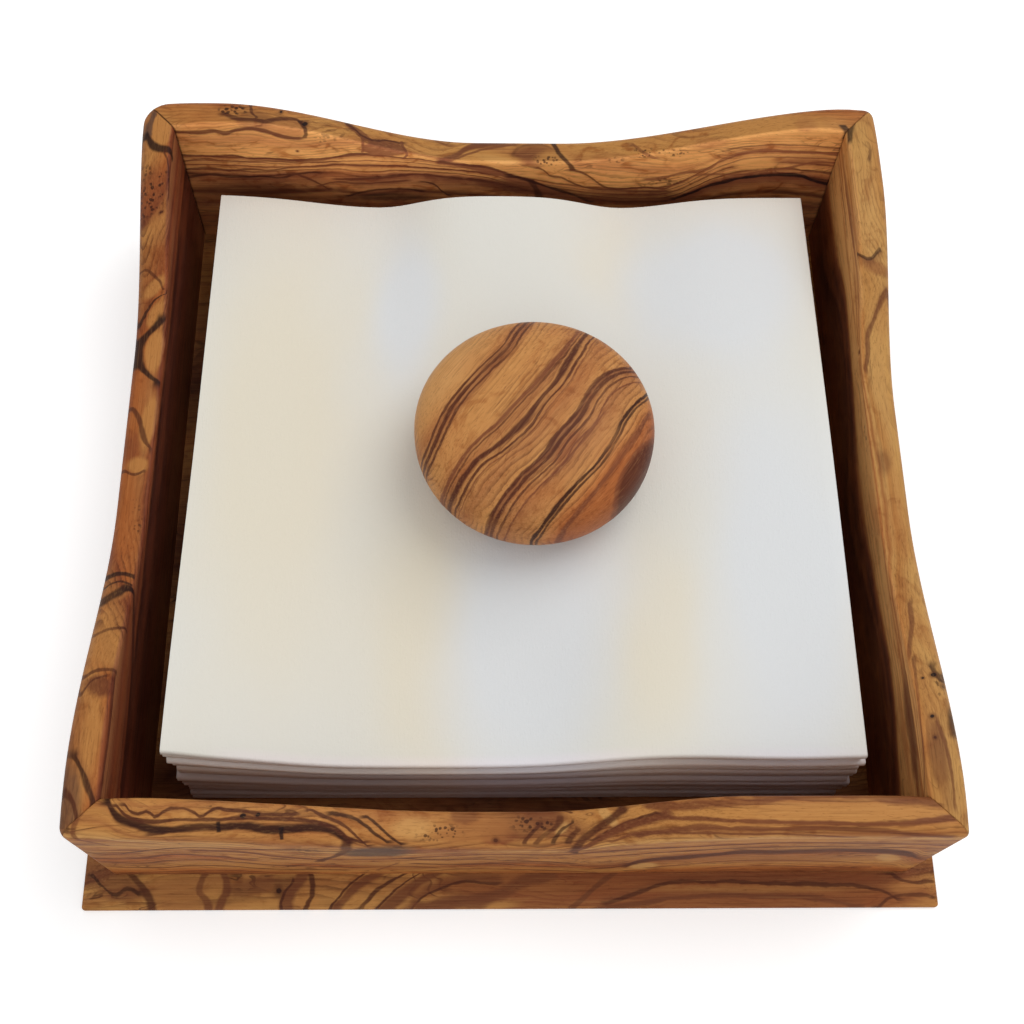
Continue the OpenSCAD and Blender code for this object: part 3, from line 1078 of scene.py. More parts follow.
BACK_CORE = {
    0.00: TAN, 0.08: ORANGE, 0.20: HONEY, 0.30: HONEY, 0.37: TAN, 0.43: HONEY, 0.49: HONEY,
    0.50: UMBER, 0.515: TAN, 0.545: HONEY, 0.555: BROWN, 0.565: HONEY, 0.59: TAN, 0.60: UMBER,
    0.61: TAN, 0.645: HONEY, 0.655: UMBER, 0.67: TAN, 0.70: BROWN, 0.71: VEIN, 0.725: BROWN,
    0.77: TAN, 0.79: UMBER, 0.80: TAN, 0.84: BROWN, 0.88: TAN, 0.90: BROWN, 1.00: TAN,
}
BACK_VEINS = (
    Vein({-93: -53.6, -85: -53.6, -82: -54.2, -79: -53.2, -76: -54.6, -72: -55.4, -68: -54.4, -65: -52.6,
        -62: -51.4, -59: -51.2}, 0.6, UMBER, 0.85, 0.4, 1.6),
    Vein({-79: -60.6, -75: -59, -71: -58.6, -68: -58, -64: -58.6, -60: -58.4, -58.4: -57.2}, 0.55, UMBER,
        0.85, 0.4, 1.6),
    crossing({-57.4: -58.4, -55.4: -57.2, -53.4: -56.8, -51.6: -57.2}, 0.55, VEIN, 0.85, 0.7),
    crossing({-63.4: -72, -61: -71.6, -59.4: -70}, 0.4, UMBER, 0.8, 0.7),
    Vein({-93: -43.5, -85: -43, -78: -43.4, -74: -42.3, -68: -42.2, -62: -41.8, -56: -41.8, -50: -43,
        -45: -44.5, -41: -44.6}, 0.4, UMBER, 0.85, 0.4, 2.2),
    Vein({-93: -40.8, -87: -41.8, -80: -41, -74: -40.8, -66: -41, -58: -40.8, -50: -41}, 0.3, UMBER, 0.7,
        0.2, 1.4),
    Vein({-93: -37, -86: -37.8, -80: -36.8, -74: -37.3, -68: -37, -64: -38, -55: -39, -48: -40, -42: -39.5,
        -30: -39, -20: -38, -12: -37.2, -4: -35.4}, 0.35, UMBER, 0.75, 0.3, 1.8),
    Vein({-93: -33.5, -86: -34.8, -80: -33.8, -72: -34, -66: -33.5, -62: -35, -56: -36}, 0.4, VEIN, 0.75,
        0.4, 2.4),
    Vein({-50: -33, -44: -33, -38: -33.5, -30: -35, -24: -35.3, -18: -34, -12: -33, -5: -32}, 0.4, UMBER,
        0.75, 0.4, 2.0),
    Vein({-19.4: -41.8, -15: -44, -12: -46.4, -8: -47.4, -2: -48.6}, 0.9, BROWN, 0.95, 0.25, 1.4),
    Vein({-17: -41.6, -12: -44, -8: -45.5, -4: -46.5, 1: -47.6}, 0.3, BROWN, 0.8),
    Vein({-19.4: -41.6, -15: -40, -10: -38.6, -5: -37, 0: -35}, 0.9, BROWN, 0.9, 0.4, 2.0),
    Vein({-19.4: -41.6, -15: -40.2, -10: -39.7, -5: -38.4, 0: -35.4, 4: -34, 9: -31.4, 14: -28, 20: -25.4},
        0.4, UMBER, 0.9, 0.4, 2.2),
    crossing({-48.4: 12.3, -45.6: 13.4, -43: 15, -40.8: 16.6, -38: 18}, 0.65, VEIN, 0.9, 0.8),
    Vein({18: -38, 21: -36.5, 24: -34, 27: -30.6, 30: -29.3, 38: -30, 45: -29.6}, 0.35, UMBER, 0.8, 0.3,
        2.0),
    Vein({8: -39, 10: -37.5, 11.5: -35.2, 15: -34.5, 17: -33, 20: -31, 24: -29.4, 32: -28.6, 46: -28.2},
        0.35, UMBER, 0.8, 0.3, 2.0),
    Vein({40: -34, 44: -34.6, 50: -37, 55: -38, 58: -40, 60: -43, 63: -45, 67: -46.5, 72: -47.5, 80: -47,
        88: -46.5, 94: -45.5}, 0.6, BROWN, 0.8, 0.25, 1.8),
    Vein({45: -29, 50: -33, 54: -36, 58: -36.5, 66: -36.4, 74: -38.4, 80: -39.6, 86: -42, 93: -42}, 0.4,
        BROWN, 0.8, 0.25, 1.6),
    Vein({62: -48, 70: -49.5, 76: -50, 85: -49.5, 94: -48.5}, 0.25, UMBER, 0.6, 0.1, 1.0),
    Vein({49: -24.5, 54: -28, 58: -31, 63: -33, 68: -35, 75: -36, 80: -36.3, 84: -36.2, 88: -34, 94: -31.8},
        0.6, PITCH, 0.95, 0.9, 5.0),
    Vein({0: -35, 4: -33.6, 9: -31, 14: -28.6, 19: -26.2, 24: -23}, 0.5, VEIN, 0.9, 0.9, 5.0),
    crossing({-33: 6, -30: 7.4, -27: 8.4, -25: 9}, 0.9, VEIN, 0.7, 1.0),
    crossing({-58: 92, -56: 93, -53: 93.4}, 0.8, PITCH, 0.9, 0.6),
    Vein({35: -48.4, 38: -45.6, 41: -43.6}, 0.5, BROWN, 0.7),
    Vein({-47.4: -57.4, -44: -54.2, -41: -51.2, -38: -50, -34: -49.4, -31: -48.4}, 0.35, UMBER, 0.9, 0.5,
        1.6),
    crossing({-48.8: -31, -46: -29.8, -44: -29.4, -42.8: -30.4}, 0.4, BROWN, 0.9, 0.6),
    crossing({-51: -41.6, -48.6: -41.4, -45.4: -41.8}, 0.35, BROWN, 0.8, 0.6),
    Vein({-62: -35.4, -58: -33, -55: -30.6, -53: -28}, 0.4, UMBER, 0.8, 0.3, 2.0),
    Vein({-55: -30, -50: -31.6, -44: -31, -38: -31.6, -30: -32.6}, 0.35, UMBER, 0.75, 0.3, 1.8),
    Vein({-47: -25, -43: -27, -38: -28, -32: -28.4, -26: -27.6}, 0.4, VEIN, 0.8, 0.6, 2.6),
    Vein({-25: -32, -22: -31, -20: -28, -18: -25.5}, 0.4, VEIN, 0.8, 0.3, 1.6),
    Vein({-23: -50.5, -20: -48, -17: -47}, 0.4, BROWN, 0.7, 0.2, 1.0),
)
BACK_PATCHES = (
    Patch(-70, -58, 5.4, 3.4, BROWN, 0.55, 15, 0.7, 0.3),
    Patch(-62.4, -55.2, 5.6, 3.6, TAN, 0.85, 12, 0.5, 0.2),
    Patch(-35.8, -46.6, 6.2, 2.9, BROWN, 0.85, 6, 0.7, 0.15),
    Patch(-42.2, -52.4, 4.6, 0.9, BROWN, 0.8, 44, 0.4, 0.15),
    Patch(7, -43.4, 6.2, 4.0, BROWN, 0.7, 0, 0.8, 0.3, UMBER, 0.4),
    Patch(12.4, -42, 5, 3.4, HONEY, 0.8, 0, 0.6, 0.4),
    Patch(-6, -42.6, 9, 2.6, HONEY, 0.95, 10, 0.3, 0.3),
    Patch(-4, -42, 6, 1.4, PALE, 0.35, 12, 0.4, 0.4),
    Patch(70.6, -41.4, 6, 2.6, HONEY, 0.85, -4, 0.5, 0.3),
    Patch(84, -42.8, 8, 1.8, BROWN, 0.5, 0, 0.6, 0.5),
    Patch(74, -57, 16, 4.4, HONEY, 0.85, -6, 0.6, 0.4),
    Patch(82, -58, 3, 2.6, TAN, 0.7, 0, 0.9, 0.4),
    Patch(56, -50, 5, 2.2, TAN, 0.7, -10, 0.9, 0.4),
    Patch(28, -43, 5, 2.6, TAN, 0.6, 0, 0.9, 0.4),
    Patch(-84, -58, 9, 3.0, ORANGE, 0.45, 0, 0.6, 0.6),
    Patch(6, -29.5, 14, 2.6, UMBER, 0.8, 12, 0.8, 0.5),
    Patch(-36, -24.8, 13, 1.8, PITCH, 0.7, 0, 0.6, 0.5),
    Patch(36, -25, 18, 3.2, UMBER, 0.7, 0, 0.8, 0.5),
    Patch(-76, -27, 18, 3.6, UMBER, 0.7, 0, 0.8, 0.5),
)
# Its inner tint paints light on the inner face.
BACK_BOARD = OliveWood(
    "back_olive", BACK_CORE, BACK_GUIDES, slant=(-1.0, -1.0), seed=8.4, veins=BACK_VEINS,
    patches=BACK_PATCHES, knots=(Knot(-57.2, -56.6, 0.7), Knot(-63.8, -61, 0.4),
    Knot(-60, -45.6, 0.35, UMBER)), specks=(Specks(-77.6, -61.8, 4, 2.2, 1.3),
    Specks(11, -42, 5, 2.4, 1.0), Specks(46, -46, 5, 1.8, 1.0), Specks(38, -46, 3.4, 2.4, 0.9),
    Specks(46, -33, 5, 2.6, 1.4, 0.6), Specks(30, -42.6, 3, 1.6, 1.2, 0.5),
    Specks(-52, -51, 4, 3.4, 1.6, 0.45), Specks(-76, -62, 5, 1.8, 1.6, 0.9)), seams=(0.7, 0.3),
    tint=(250, 249, 254), line_strength=0.4, mottle=0.7, curl_strength=0.35, inner=(340, 344, 370),
)

# The left wall's board: black-edged eyes and arcs across the rim

LEFT_GUIDES = (
    Guide(0.0, level(-68)),
    Guide(0.35, level(-50)),
    Guide(0.6, level(-38)),
    Guide(1.0, level(0)),
)
LEFT_CORE = {
    0.00: BROWN, 0.08: TAN, 0.16: HONEY, 0.22: ORANGE, 0.26: BROWN, 0.28: HONEY, 0.36: TAN,
    0.40: RUSSET, 0.43: ORANGE, 0.50: TAN, 0.53: RUSSET, 0.58: ORANGE, 0.61: UMBER,
    0.66: RUSSET, 0.70: BROWN, 0.76: RUSSET, 0.86: TAN, 1.00: TAN,
}
LEFT_VEINS = (
    Vein({97: -61.4, 94: -62.2, 90.5: -62.4}, 0.6, SLATE, 0.8),
    crossing({-62.6: 90, -61.2: 87.2, -59: 85.6, -56: 84.8, -53: 84}, 1.0, PITCH, 0.9, 0.8),
    Vein({84: -57.4, 80.5: -55.4, 77: -54, 72: -52.4}, 0.3, UMBER, 0.7, 0.2, 1.0),
    crossing({-51: 53.6, -48.6: 52, -46.4: 50, -45: 48}, 0.3, UMBER, 0.7, 0.8, 0.2, 1.0),
    Vein({47: -43, 46.4: -45, 45: -46, 42: -46.9, 38: -47.4, 34: -47.4}, 0.3, PITCH, 0.8),
    Vein({40: -42.6, 37.5: -44.2, 34.5: -46, 30: -46.8, 26.5: -46, 24: -44, 21.6: -40.6}, 1.1, PITCH, 0.9),
    Vein({15: -47.6, 12.5: -45.6, 8: -44, 4: -42.6, 2: -40.6}, 0.5, UMBER, 0.8),
    crossing({-47.4: -3.4, -45.6: -5.2, -43.6: -5.4, -42: -4.4}, 0.4, UMBER, 0.75, 0.8),
    crossing({-51.6: -36.6, -49.4: -34.8, -47: -34.4, -45: -35.4}, 0.55, PITCH, 0.9, 0.8),
    crossing({-53: -39.8, -50.4: -37.6, -48: -36.8, -45.8: -38}, 0.3, PITCH, 0.85, 0.8),
    crossing({-55: -45.4, -51.8: -41.8, -49: -40, -47: -38.8, -44.8: -41, -43.4: -44}, 1.0, PITCH, 0.95,
        0.8),
    Vein({-41: -44.8, -47: -42.4, -54: -40, -62: -38.6, -74: -37.8, -86: -38}, 0.8, UMBER, 0.8, 0.5, 3.0),
    crossing({-57.6: -53.2, -54: -51.2, -51: -50.6, -48: -51.2}, 0.35, UMBER, 0.85, 0.8),
    crossing({-60.6: -64.4, -58: -62.6, -55: -62.6, -53.4: -63.2}, 0.4, UMBER, 0.85, 0.8),
    crossing({-61.8: -69.4, -59.8: -66, -58: -64.6, -56.2: -64}, 0.3, UMBER, 0.8, 0.8),
    Vein({-83.6: -63.4, -88: -60.6, -91.6: -58.4, -94: -57}, 0.6, VEIN, 0.85, 0.5, 2.6),
    Vein({-88: -65.4, -91.4: -64, -95: -61.6, -98.4: -60.4}, 0.5, UMBER, 0.8, 0.3, 2.0),
)
LEFT_PATCHES = (
    Patch(92.6, -58.8, 6.0, 3.0, HONEY, 0.9, 0, 0.4, 0.15),
    Patch(73, -56.4, 7.4, 3.4, RUSSET, 0.7, -20, 0.8, 0.4),
    Patch(48.6, -47.2, 3, 1.7, HONEY, 0.8, 15, 0.4, 0.3),
    Patch(31, -42.6, 6.2, 2.6, HONEY, 0.9, 0, 0.4, 0.2),
    Patch(41.6, -44.6, 3.8, 1.7, HONEY, 0.8, 10, 0.3, 0.3),
    Patch(10, -42, 8, 2.2, HONEY, 0.85, 6, 0.6, 0.3),
    Patch(2.4, -45.6, 4, 1.8, RUSSET, 0.7, 0, 0.6, 0.5),
    Patch(-3, -43.6, 2.4, 2.6, HONEY, 0.8, 0, 0.5, 0.3),
    Patch(-20, -44.6, 12, 2.4, ORANGE, 0.6, 0, 0.6, 0.5),
    Patch(-56, -54.8, 7, 4.4, HONEY, 0.85, -18, 0.5, 0.4),
    Patch(-66.6, -57.6, 2.6, 2.6, BROWN, 0.85, 0, 1.4, 0.3),
    Patch(-40.6, -50.2, 2.0, 3.0, TAN, 0.8, -25, 0.3, 0.3),
    Patch(-80, -60, 8, 1.8, HONEY, 0.7, 4, 0.5, 0.4),
    Patch(-93, -63.6, 8, 3.4, SLATE, 0.55, -14, 0.5, 0.4),
    Patch(-70, -46, 20, 4.0, ORANGE, 0.5, 0, 0.8, 0.6),
)
# Its inner tint paints shade on the inner face.
LEFT_BOARD = OliveWood(
    "left_olive", LEFT_CORE, LEFT_GUIDES, slant=(-1.0, -1.0), seed=14.2, veins=LEFT_VEINS,
    patches=LEFT_PATCHES, knots=(Knot(68, -53, 0.35, UMBER),), sway=5.0,
    specks=(Specks(73, -56.4, 7.5, 3.6, 1.25, 0.85), Specks(-19, -42.8, 6, 1.5, 1.0, 0.6),
    Specks(79, -60.4, 3, 2, 1.3, 0.6)), curl_strength=0.25, seams=(0.15, 0.6), tint=(247, 239, 246),
    inner=(216, 204, 240),
)

# The right wall's board: pale and plain, with soft brown bands inside and a few dark flecks

RIGHT_GUIDES = (
    Guide(0.00, level(-68)),
    Guide(0.30, {-105: -58, -60: -56, -45: -57, -36: -51, -24: -46, 0: -49, 20: -50, 45: -52.5, 60: -57,
        75: -62, 105: -59}),
    Guide(0.60, {-105: -44, -80: -45, -58: -45.6, -40: -43, -20: -41, 0: -41, 20: -42, 45: -43, 60: -44.5,
        90: -44, 105: -43}),
    Guide(0.80, {-105: -26, -74: -17, -46: -29, -18: -24, 6: -14, 34: -24, 60: -31, 84: -22, 105: -18}),
    Guide(1.00, level(2)),
)
RIGHT_CORE = {
    0.00: ORANGE, 0.08: HONEY, 0.18: PALE, 0.30: PALE, 0.40: HONEY, 0.44: PALE, 0.48: TAN,
    0.51: PALE, 0.54: TAN, 0.57: PALE, 0.60: PALE, 0.66: PALE, 0.675: PALE, 0.69: TAN,
    0.705: BROWN, 0.74: UMBER, 0.77: BROWN, 0.79: UMBER, 0.84: BROWN, 0.90: RUSSET, 1.00: TAN,
}
RIGHT_VEINS = (
    Vein({-95.6: -57.6, -93: -56.8, -90: -56.6}, 0.8, PITCH, 0.85),
    crossing({-59.4: -55.4, -57.4: -53.6, -55.8: -52.8, -54: -53.6, -52.6: -55}, 0.4, VEIN, 0.75, 0.8, 0.6,
        2.6),
    Vein({-48: -58.8, -42: -55, -37: -51.5, -33: -48.6, -27: -46.5, -24: -45}, 0.5, BROWN, 0.8, 0.35, 1.6),
    Vein({61.4: -58, 63.6: -59.4, 65.6: -61}, 0.6, VEIN, 0.75, 0.4, 2.0),
    Vein({71: -62.4, 74.6: -62.8, 78: -63.6}, 0.8, VEIN, 0.8, 0.5, 2.4),
    Vein({56: -49.6, 64: -50.8, 74: -52, 90: -52.4}, 0.35, PALE, 0.95),
    Vein({44: -51.6, 48: -52.4, 53: -52.6, 58: -52.8}, 0.5, BROWN, 0.7, 0.2, 1.4),
    Vein({76: -60, 82: -61.6, 88: -62.2, 95: -61.6}, 0.4, BROWN, 0.75, 0.4, 3.6),
    Vein({60: -54, 68: -55.4, 76: -56, 86: -54.8, 92: -52}, 0.35, BROWN, 0.6),
    crossing({-58: 95, -52: 96.6, -44: 97.4, -34: 98.2}, 0.4, BROWN, 0.7, 2.0),
)
RIGHT_PATCHES = (
    Patch(-70, -50.2, 16, 1.3, BROWN, 0.6, 0, 0.6, 0.5),
    Patch(-66, -47.8, 14, 0.9, PALE, 0.6, 0, 0.5, 0.5),
    Patch(-70, -52.6, 15, 0.8, TAN, 0.8, 0, 0.7, 0.5),
    Patch(-76, -45.4, 12, 0.8, BROWN, 0.6, 0, 0.7, 0.5),
    Patch(-60, -43.4, 26, 0.7, TAN, 0.7, 2, 0.6, 0.5),
    Patch(-66, -40.6, 24, 1.0, PALE, 0.9, 3, 0.5, 0.4),
    Patch(-50.6, -57, 1.8, 3.0, RUSSET, 0.6, 20, 0.5, 0.5),
    Patch(-84, -62.4, 2.4, 0.5, UMBER, 0.6, 8, 0.3, 0.5),
    Patch(75, -48.4, 15, 3.2, UMBER, 0.75, 0, 0.8, 0.4),
    Patch(74, -42.4, 13, 1.8, TAN, 0.6, 0, 0.6, 0.5),
    Patch(84, -59.4, 8, 2.0, BROWN, 0.6, 0, 0.6, 0.4),
    Patch(3, -46, 3.6, 1.8, BROWN, 0.5, 0, 0.6, 0.5),
    Patch(-20, -52, 30, 3.0, PALE, 0.4, 0, 0.8, 0.7),
)
# Its inner tint paints light on the inner face.
RIGHT_BOARD = OliveWood(
    "right_olive", RIGHT_CORE, RIGHT_GUIDES, slant=(-1.0, -1.0), seed=21.7, veins=RIGHT_VEINS,
    patches=RIGHT_PATCHES, knots=(Knot(63.6, -58.6, 0.5), Knot(74.4, -58.9, 0.45),
    Knot(79.6, -59.4, 0.4, UMBER), Knot(64.6, -56.5, 0.3), Knot(-29.6, -43.4, 0.5, UMBER)),
    specks=(Specks(-6, -40, 6, 1.4, 1.3, 0.5), Specks(66, -60, 4, 1.2, 1.1, 0.6)), sway=2.0,
    line_strength=0.3, curl_strength=0.2, seams=(0.4, 0.15), tint=(238, 233, 232), inner=(284, 280, 296),
)

# The base board: darker, with rings about a knot at the left of the front margin, and painted shade on its
# floor inside the walls

BASE_GUIDES = (
    Guide(0.0, level(-112)),
    Guide(0.45, {-110: -60, -60: -40, 0: -56, 60: -70, 110: -62}),
    Guide(0.8, {-110: 40, -40: 60, 30: 44, 110: 66}),
    Guide(1.0, level(112)),
)
BASE_CORE = {
    0.00: TAN, 0.03: HONEY, 0.055: TAN, 0.08: HONEY, 0.10: BROWN, 0.17: TAN, 0.22: BROWN,
    0.25: UMBER, 0.27: BROWN, 0.36: TAN, 0.40: UMBER, 0.42: BROWN, 0.52: TAN, 0.57: UMBER,
    0.60: BROWN, 0.70: TAN, 0.76: UMBER, 0.79: BROWN, 0.90: TAN, 1.00: BROWN,
}
BASE_VEINS = (
    Vein({-106.4: -100, -103: -103.4, -100: -105.4, -97: -104, -94.4: -105}, 0.4, VEIN, 0.8, 0.5, 2.0),
    crossing({-109.4: -90.4, -106.6: -91.4, -103: -93.6, -100: -97}, 0.9, UMBER, 0.85, 1.2),
    crossing({-110: -77.4, -107.4: -77, -104: -79, -100.6: -77.6}, 1.0, BROWN, 0.9, 1.2),
    crossing({-110: -75, -107: -73.4, -104: -72, -100.6: -72.8}, 1.0, BROWN, 0.9, 1.2),
    crossing({-110: -56.6, -107: -57, -104: -55.4, -102: -53.6, -100: -52.4}, 1.4, BROWN, 0.9, 1.2),
    crossing({-110: -58, -107: -58.4, -104: -56.8, -102: -55}, 0.3, UMBER, 0.9, 1.2),
    crossing({-108.6: -52.4, -105: -50.6, -102: -50.6, -100: -51.4}, 0.6, UMBER, 0.9, 1.2),
    crossing({-110: -45.6, -106.4: -42.6, -104: -40, -100.6: -34.4}, 1.4, BROWN, 0.9, 1.2),
    crossing({-110: -47.4, -106.4: -44.4, -104: -42.2, -100.6: -37.4}, 0.3, UMBER, 0.9, 1.2),
    crossing({-110: -39.6, -106: -36, -104: -33.6, -100.6: -27}, 0.5, UMBER, 0.9, 1.2),
    crossing({-110: -33, -106: -28.6, -103.4: -25, -100.6: -20}, 2.2, BROWN, 0.9, 1.2),
    crossing({-110: -36, -106: -31.6, -103.4: -28.4, -100.6: -23.6}, 0.3, UMBER, 0.9, 1.2),
    Vein({-26.6: -110, -23: -106.4, -19: -104.4, -12: -102.6, -4: -103}, 0.3, UMBER, 0.85, 0.8, 4.0),
    Vein({-24: -108.4, -14: -107.4, -4: -105.6, 4: -102, 10: -100.6}, 1.3, BROWN, 0.85, 0.4, 2.0),
    crossing({-109.4: 14, -105.6: 19, -102.4: 23, -100.6: 26}, 0.9, BROWN, 0.9, 1.2),
    Vein({24: -107.6, 32: -105, 40: -103, 52: -102.6, 66: -103, 80: -103.6, 92: -104.4, 98: -107}, 0.35,
        UMBER, 0.8, 0.6, 2.4),
    Vein({22: -109, 34: -107.4, 46: -106, 60: -106, 76: -106.6, 88: -108.6}, 0.45, BROWN, 0.8, 0.5, 2.0),
    Vein({96: -100.6, 99: -102.4, 103: -103, 107: -102.4}, 0.4, UMBER, 0.8, 0.4, 2.0),
    Vein({93: -109, 97: -106.4, 102: -106, 107: -106.6}, 0.4, UMBER, 0.7, 0.4, 2.0),
)
BASE_PATCHES = (
    Patch(-99, -103.4, 7, 3.0, BROWN, 0.7, -10, 0.9, 0.4),
    Patch(-84, -106, 6, 4.4, TAN, 0.8, 0, 0.7, 0.5),
    Patch(-66, -103.6, 7, 2.0, BROWN, 0.7, 8, 0.7, 0.4),
    Patch(-62, -108.4, 6, 1.6, HONEY, 0.8, 4, 0.5, 0.4),
    Patch(-57, -103.4, 4, 2.4, UMBER, 0.5, 20, 0.8, 0.5),
    Patch(8, -104, 26, 6.0, RUSSET, 0.75, 0, 0.6, 0.5),
    Patch(-6, -108.4, 8, 1.2, HONEY, 0.7, 10, 0.5, 0.5),
    Patch(62, -105, 44, 7.0, RUSSET, 0.8, 0, 0.6, 0.3),
    Patch(60, -104.4, 26, 0.9, TAN, 0.8, 0, 0.4, 0.6),
    Patch(99, -104.6, 3.4, 1.2, TAN, 0.8, 0, 0.4, 0.6),
)
# Its well paints shade on the floor inside the walls.
BASE_BOARD = OliveWood(
    "base_olive", BASE_CORE, BASE_GUIDES, slant=(1.0, 0.0), seed=31.5, veins=BASE_VEINS,
    patches=BASE_PATCHES, knots=(Knot(-59, -104.4, 0.7, VEIN),), sway=9.0, ripple=1.6, lines=70.0,
    reach=114.0, half_length=114.0, bold=1.35, tint=(262, 265, 276), well=92.0,
)

# The weight's wood: slanting double-lined bands, and a warmer side with a dark patch; its pale back-left
# side is partly painted sky reflection

WEIGHT_GUIDES = (
    Guide(0.0, {-40: -34, 0: -32, 40: -34}),
    Guide(0.5, {-40: -3.8, -14: -2, -5.6: -0.8, 1.6: -1.2, 8.4: -1.3, 16.8: -2.6, 40: -4.6}),
    Guide(1.0, {-40: 33, 0: 35, 40: 32}),
)
# The core starts pale on the weight's back-left side: partly the wood's own tone, partly painted reflection
# of the sky.
WEIGHT_CORE = {
    0.00: PALE, 0.08: HONEY, 0.20: HONEY, 0.26: TAN, 0.30: HONEY, 0.40: HONEY, 0.47: TAN,
    0.50: HONEY, 0.56: TAN, 0.62: HONEY, 0.70: TAN, 0.78: HONEY, 0.83: ORANGE, 0.90: RUSSET,
    0.95: BROWN, 1.00: UMBER,
}
BAND_A = {-32: -13.6, -24.4: -14.4, -12: -17.2, -7: -17.5, -2.6: -17.4, 2: -17, 9.2: -16.6, 15.8: -17.6,
    26: -18.8}
BAND_B = {-32: -6, -26.2: -6.5, -19: -7, -9.2: -5.6, -1.4: -5.2, 6.4: -4.8, 15: -5, 26: -6.2}
BAND_C = {-32: -3, -26.6: -3.8, -19.8: -3.9, -14: -2, -5.6: -0.8, 1.6: -1.2, 8.4: -1.3, 16.8: -2.6, 28: -4.4}
BAND_D = {-32: 8.6, -27.4: 6.9, -17.4: 6.8, -9: 8, -3.2: 7.4, 4.6: 7.8, 11.2: 6.6, 17.6: 6.8, 26: 10}
BAND_E = {-26: 17, -21.8: 17.7, -11.2: 18.4, -2.4: 19.3, 5.2: 18.6, 11.8: 17.4, 24: 17.4}
WEIGHT_VEINS = (
    Vein(BAND_A, 0.36, UMBER, 0.9, 0.5, 2.0),
    Vein(beside(BAND_A, -1.3), 0.24, UMBER, 0.85, 0.4, 1.4),
    Vein(beside(BAND_A, 1.4), 0.26, UMBER, 0.85, 0.3, 1.2),
    Vein(BAND_B, 0.4, BROWN, 0.85, 0.4, 2.2),
    Vein(beside(BAND_B, 1.0), 0.18, UMBER, 0.7),
    Vein(BAND_C, 0.55, UMBER, 0.95, 0.45, 2.4),
    Vein(beside(BAND_C, 1.9), 0.25, UMBER, 0.9, 0.2, 1.2),
    Vein(beside(BAND_C, 3.0), 0.15, BROWN, 0.7),
    Vein(BAND_D, 0.45, UMBER, 0.9, 0.8, 3.4),
    Vein(beside(BAND_D, 1.4), 0.4, UMBER, 0.9, 0.3, 1.4),
    Vein(beside(BAND_D, 3.1), 0.25, UMBER, 0.8, 0.2, 1.4),
    Vein(beside(BAND_D, 5.0), 0.2, BROWN, 0.8, 0.2, 1.4),
    Vein(BAND_E, 0.35, VEIN, 0.95, 0.2, 1.4),
    Vein(beside(BAND_E, 0.9), 0.25, VEIN, 0.8, 0.1, 1.0),
    Vein({-22: 22, -14: 22.6, -6: 23, 2: 22.6, 10: 22, 18: 21}, 0.45, BROWN, 0.8, 0.3, 2.0),
    Vein({-14: 12.4, -8: 13, 0: 13.4, 8: 12.8}, 0.3, BROWN, 0.7, 0.2, 1.4),
)
WEIGHT_PATCHES = (
    Patch(-6, 26.5, 12, 3.4, ORANGE, 0.7, 0, 0.6, 0.4),
    Patch(6, 30.2, 12.6, 5.6, UMBER, 0.9, 0, 0.7, 0.15, BROWN, 0.6),
    # A pale patch on the back-left side: partly the wood's own tone, partly painted reflection of the sky.
    Patch(-4, -27, 16, 6.4, PALE, 0.6, 0, 0.6, 0.6),
    Patch(-4, 11.2, 5, 1.6, RUSSET, 0.6, 0, 0.6, 0.5),
)
WEIGHT_BLANK = OliveWood(
    "weight_olive", WEIGHT_CORE, WEIGHT_GUIDES, turn=math.radians(53), origin=(0.0, 0.0, 65.0),
    slant=(-1.0, -0.12), seed=44.0, sway=1.0, ripple=0.9, jitter=0.25, lines=46.0, veins=WEIGHT_VEINS,
    patches=WEIGHT_PATCHES, half_length=42.0, reach=42.0, roughness=0.42, curl_strength=0.0,
    line_strength=0.5, tint=(268, 266, 290),
)


# The tray's walls


@dataclass(frozen=True)
class Rim:
    """Height of one wall's rim along its length. Shares are of half the wall's length."""

    dip: float
    starts: Spot
    stops: Spot

    def height(self, share: float, peak: float, drop: float, drop_start: float) -> float:
        """Height of the rim at a share of the half wall.

        Args:
            share: From -1 to 1 along the wall.
            peak: Height of the rim's peaks beside the corners.
            drop: How far the rim drops again from there to the mitre.
            drop_start: Share at which it starts to drop.

        Returns:
            The height, in metres.
        """
        side = 0 if share < 0 else 1
        far = abs(share)
        rise = ease((far - self.starts[side]) / (self.stops[side] - self.starts[side]))
        fall = min(max((far - drop_start) / (1 - drop_start), 0.0), 1.0)
        return self.dip + (peak - self.dip) * rise - drop * fall * fall


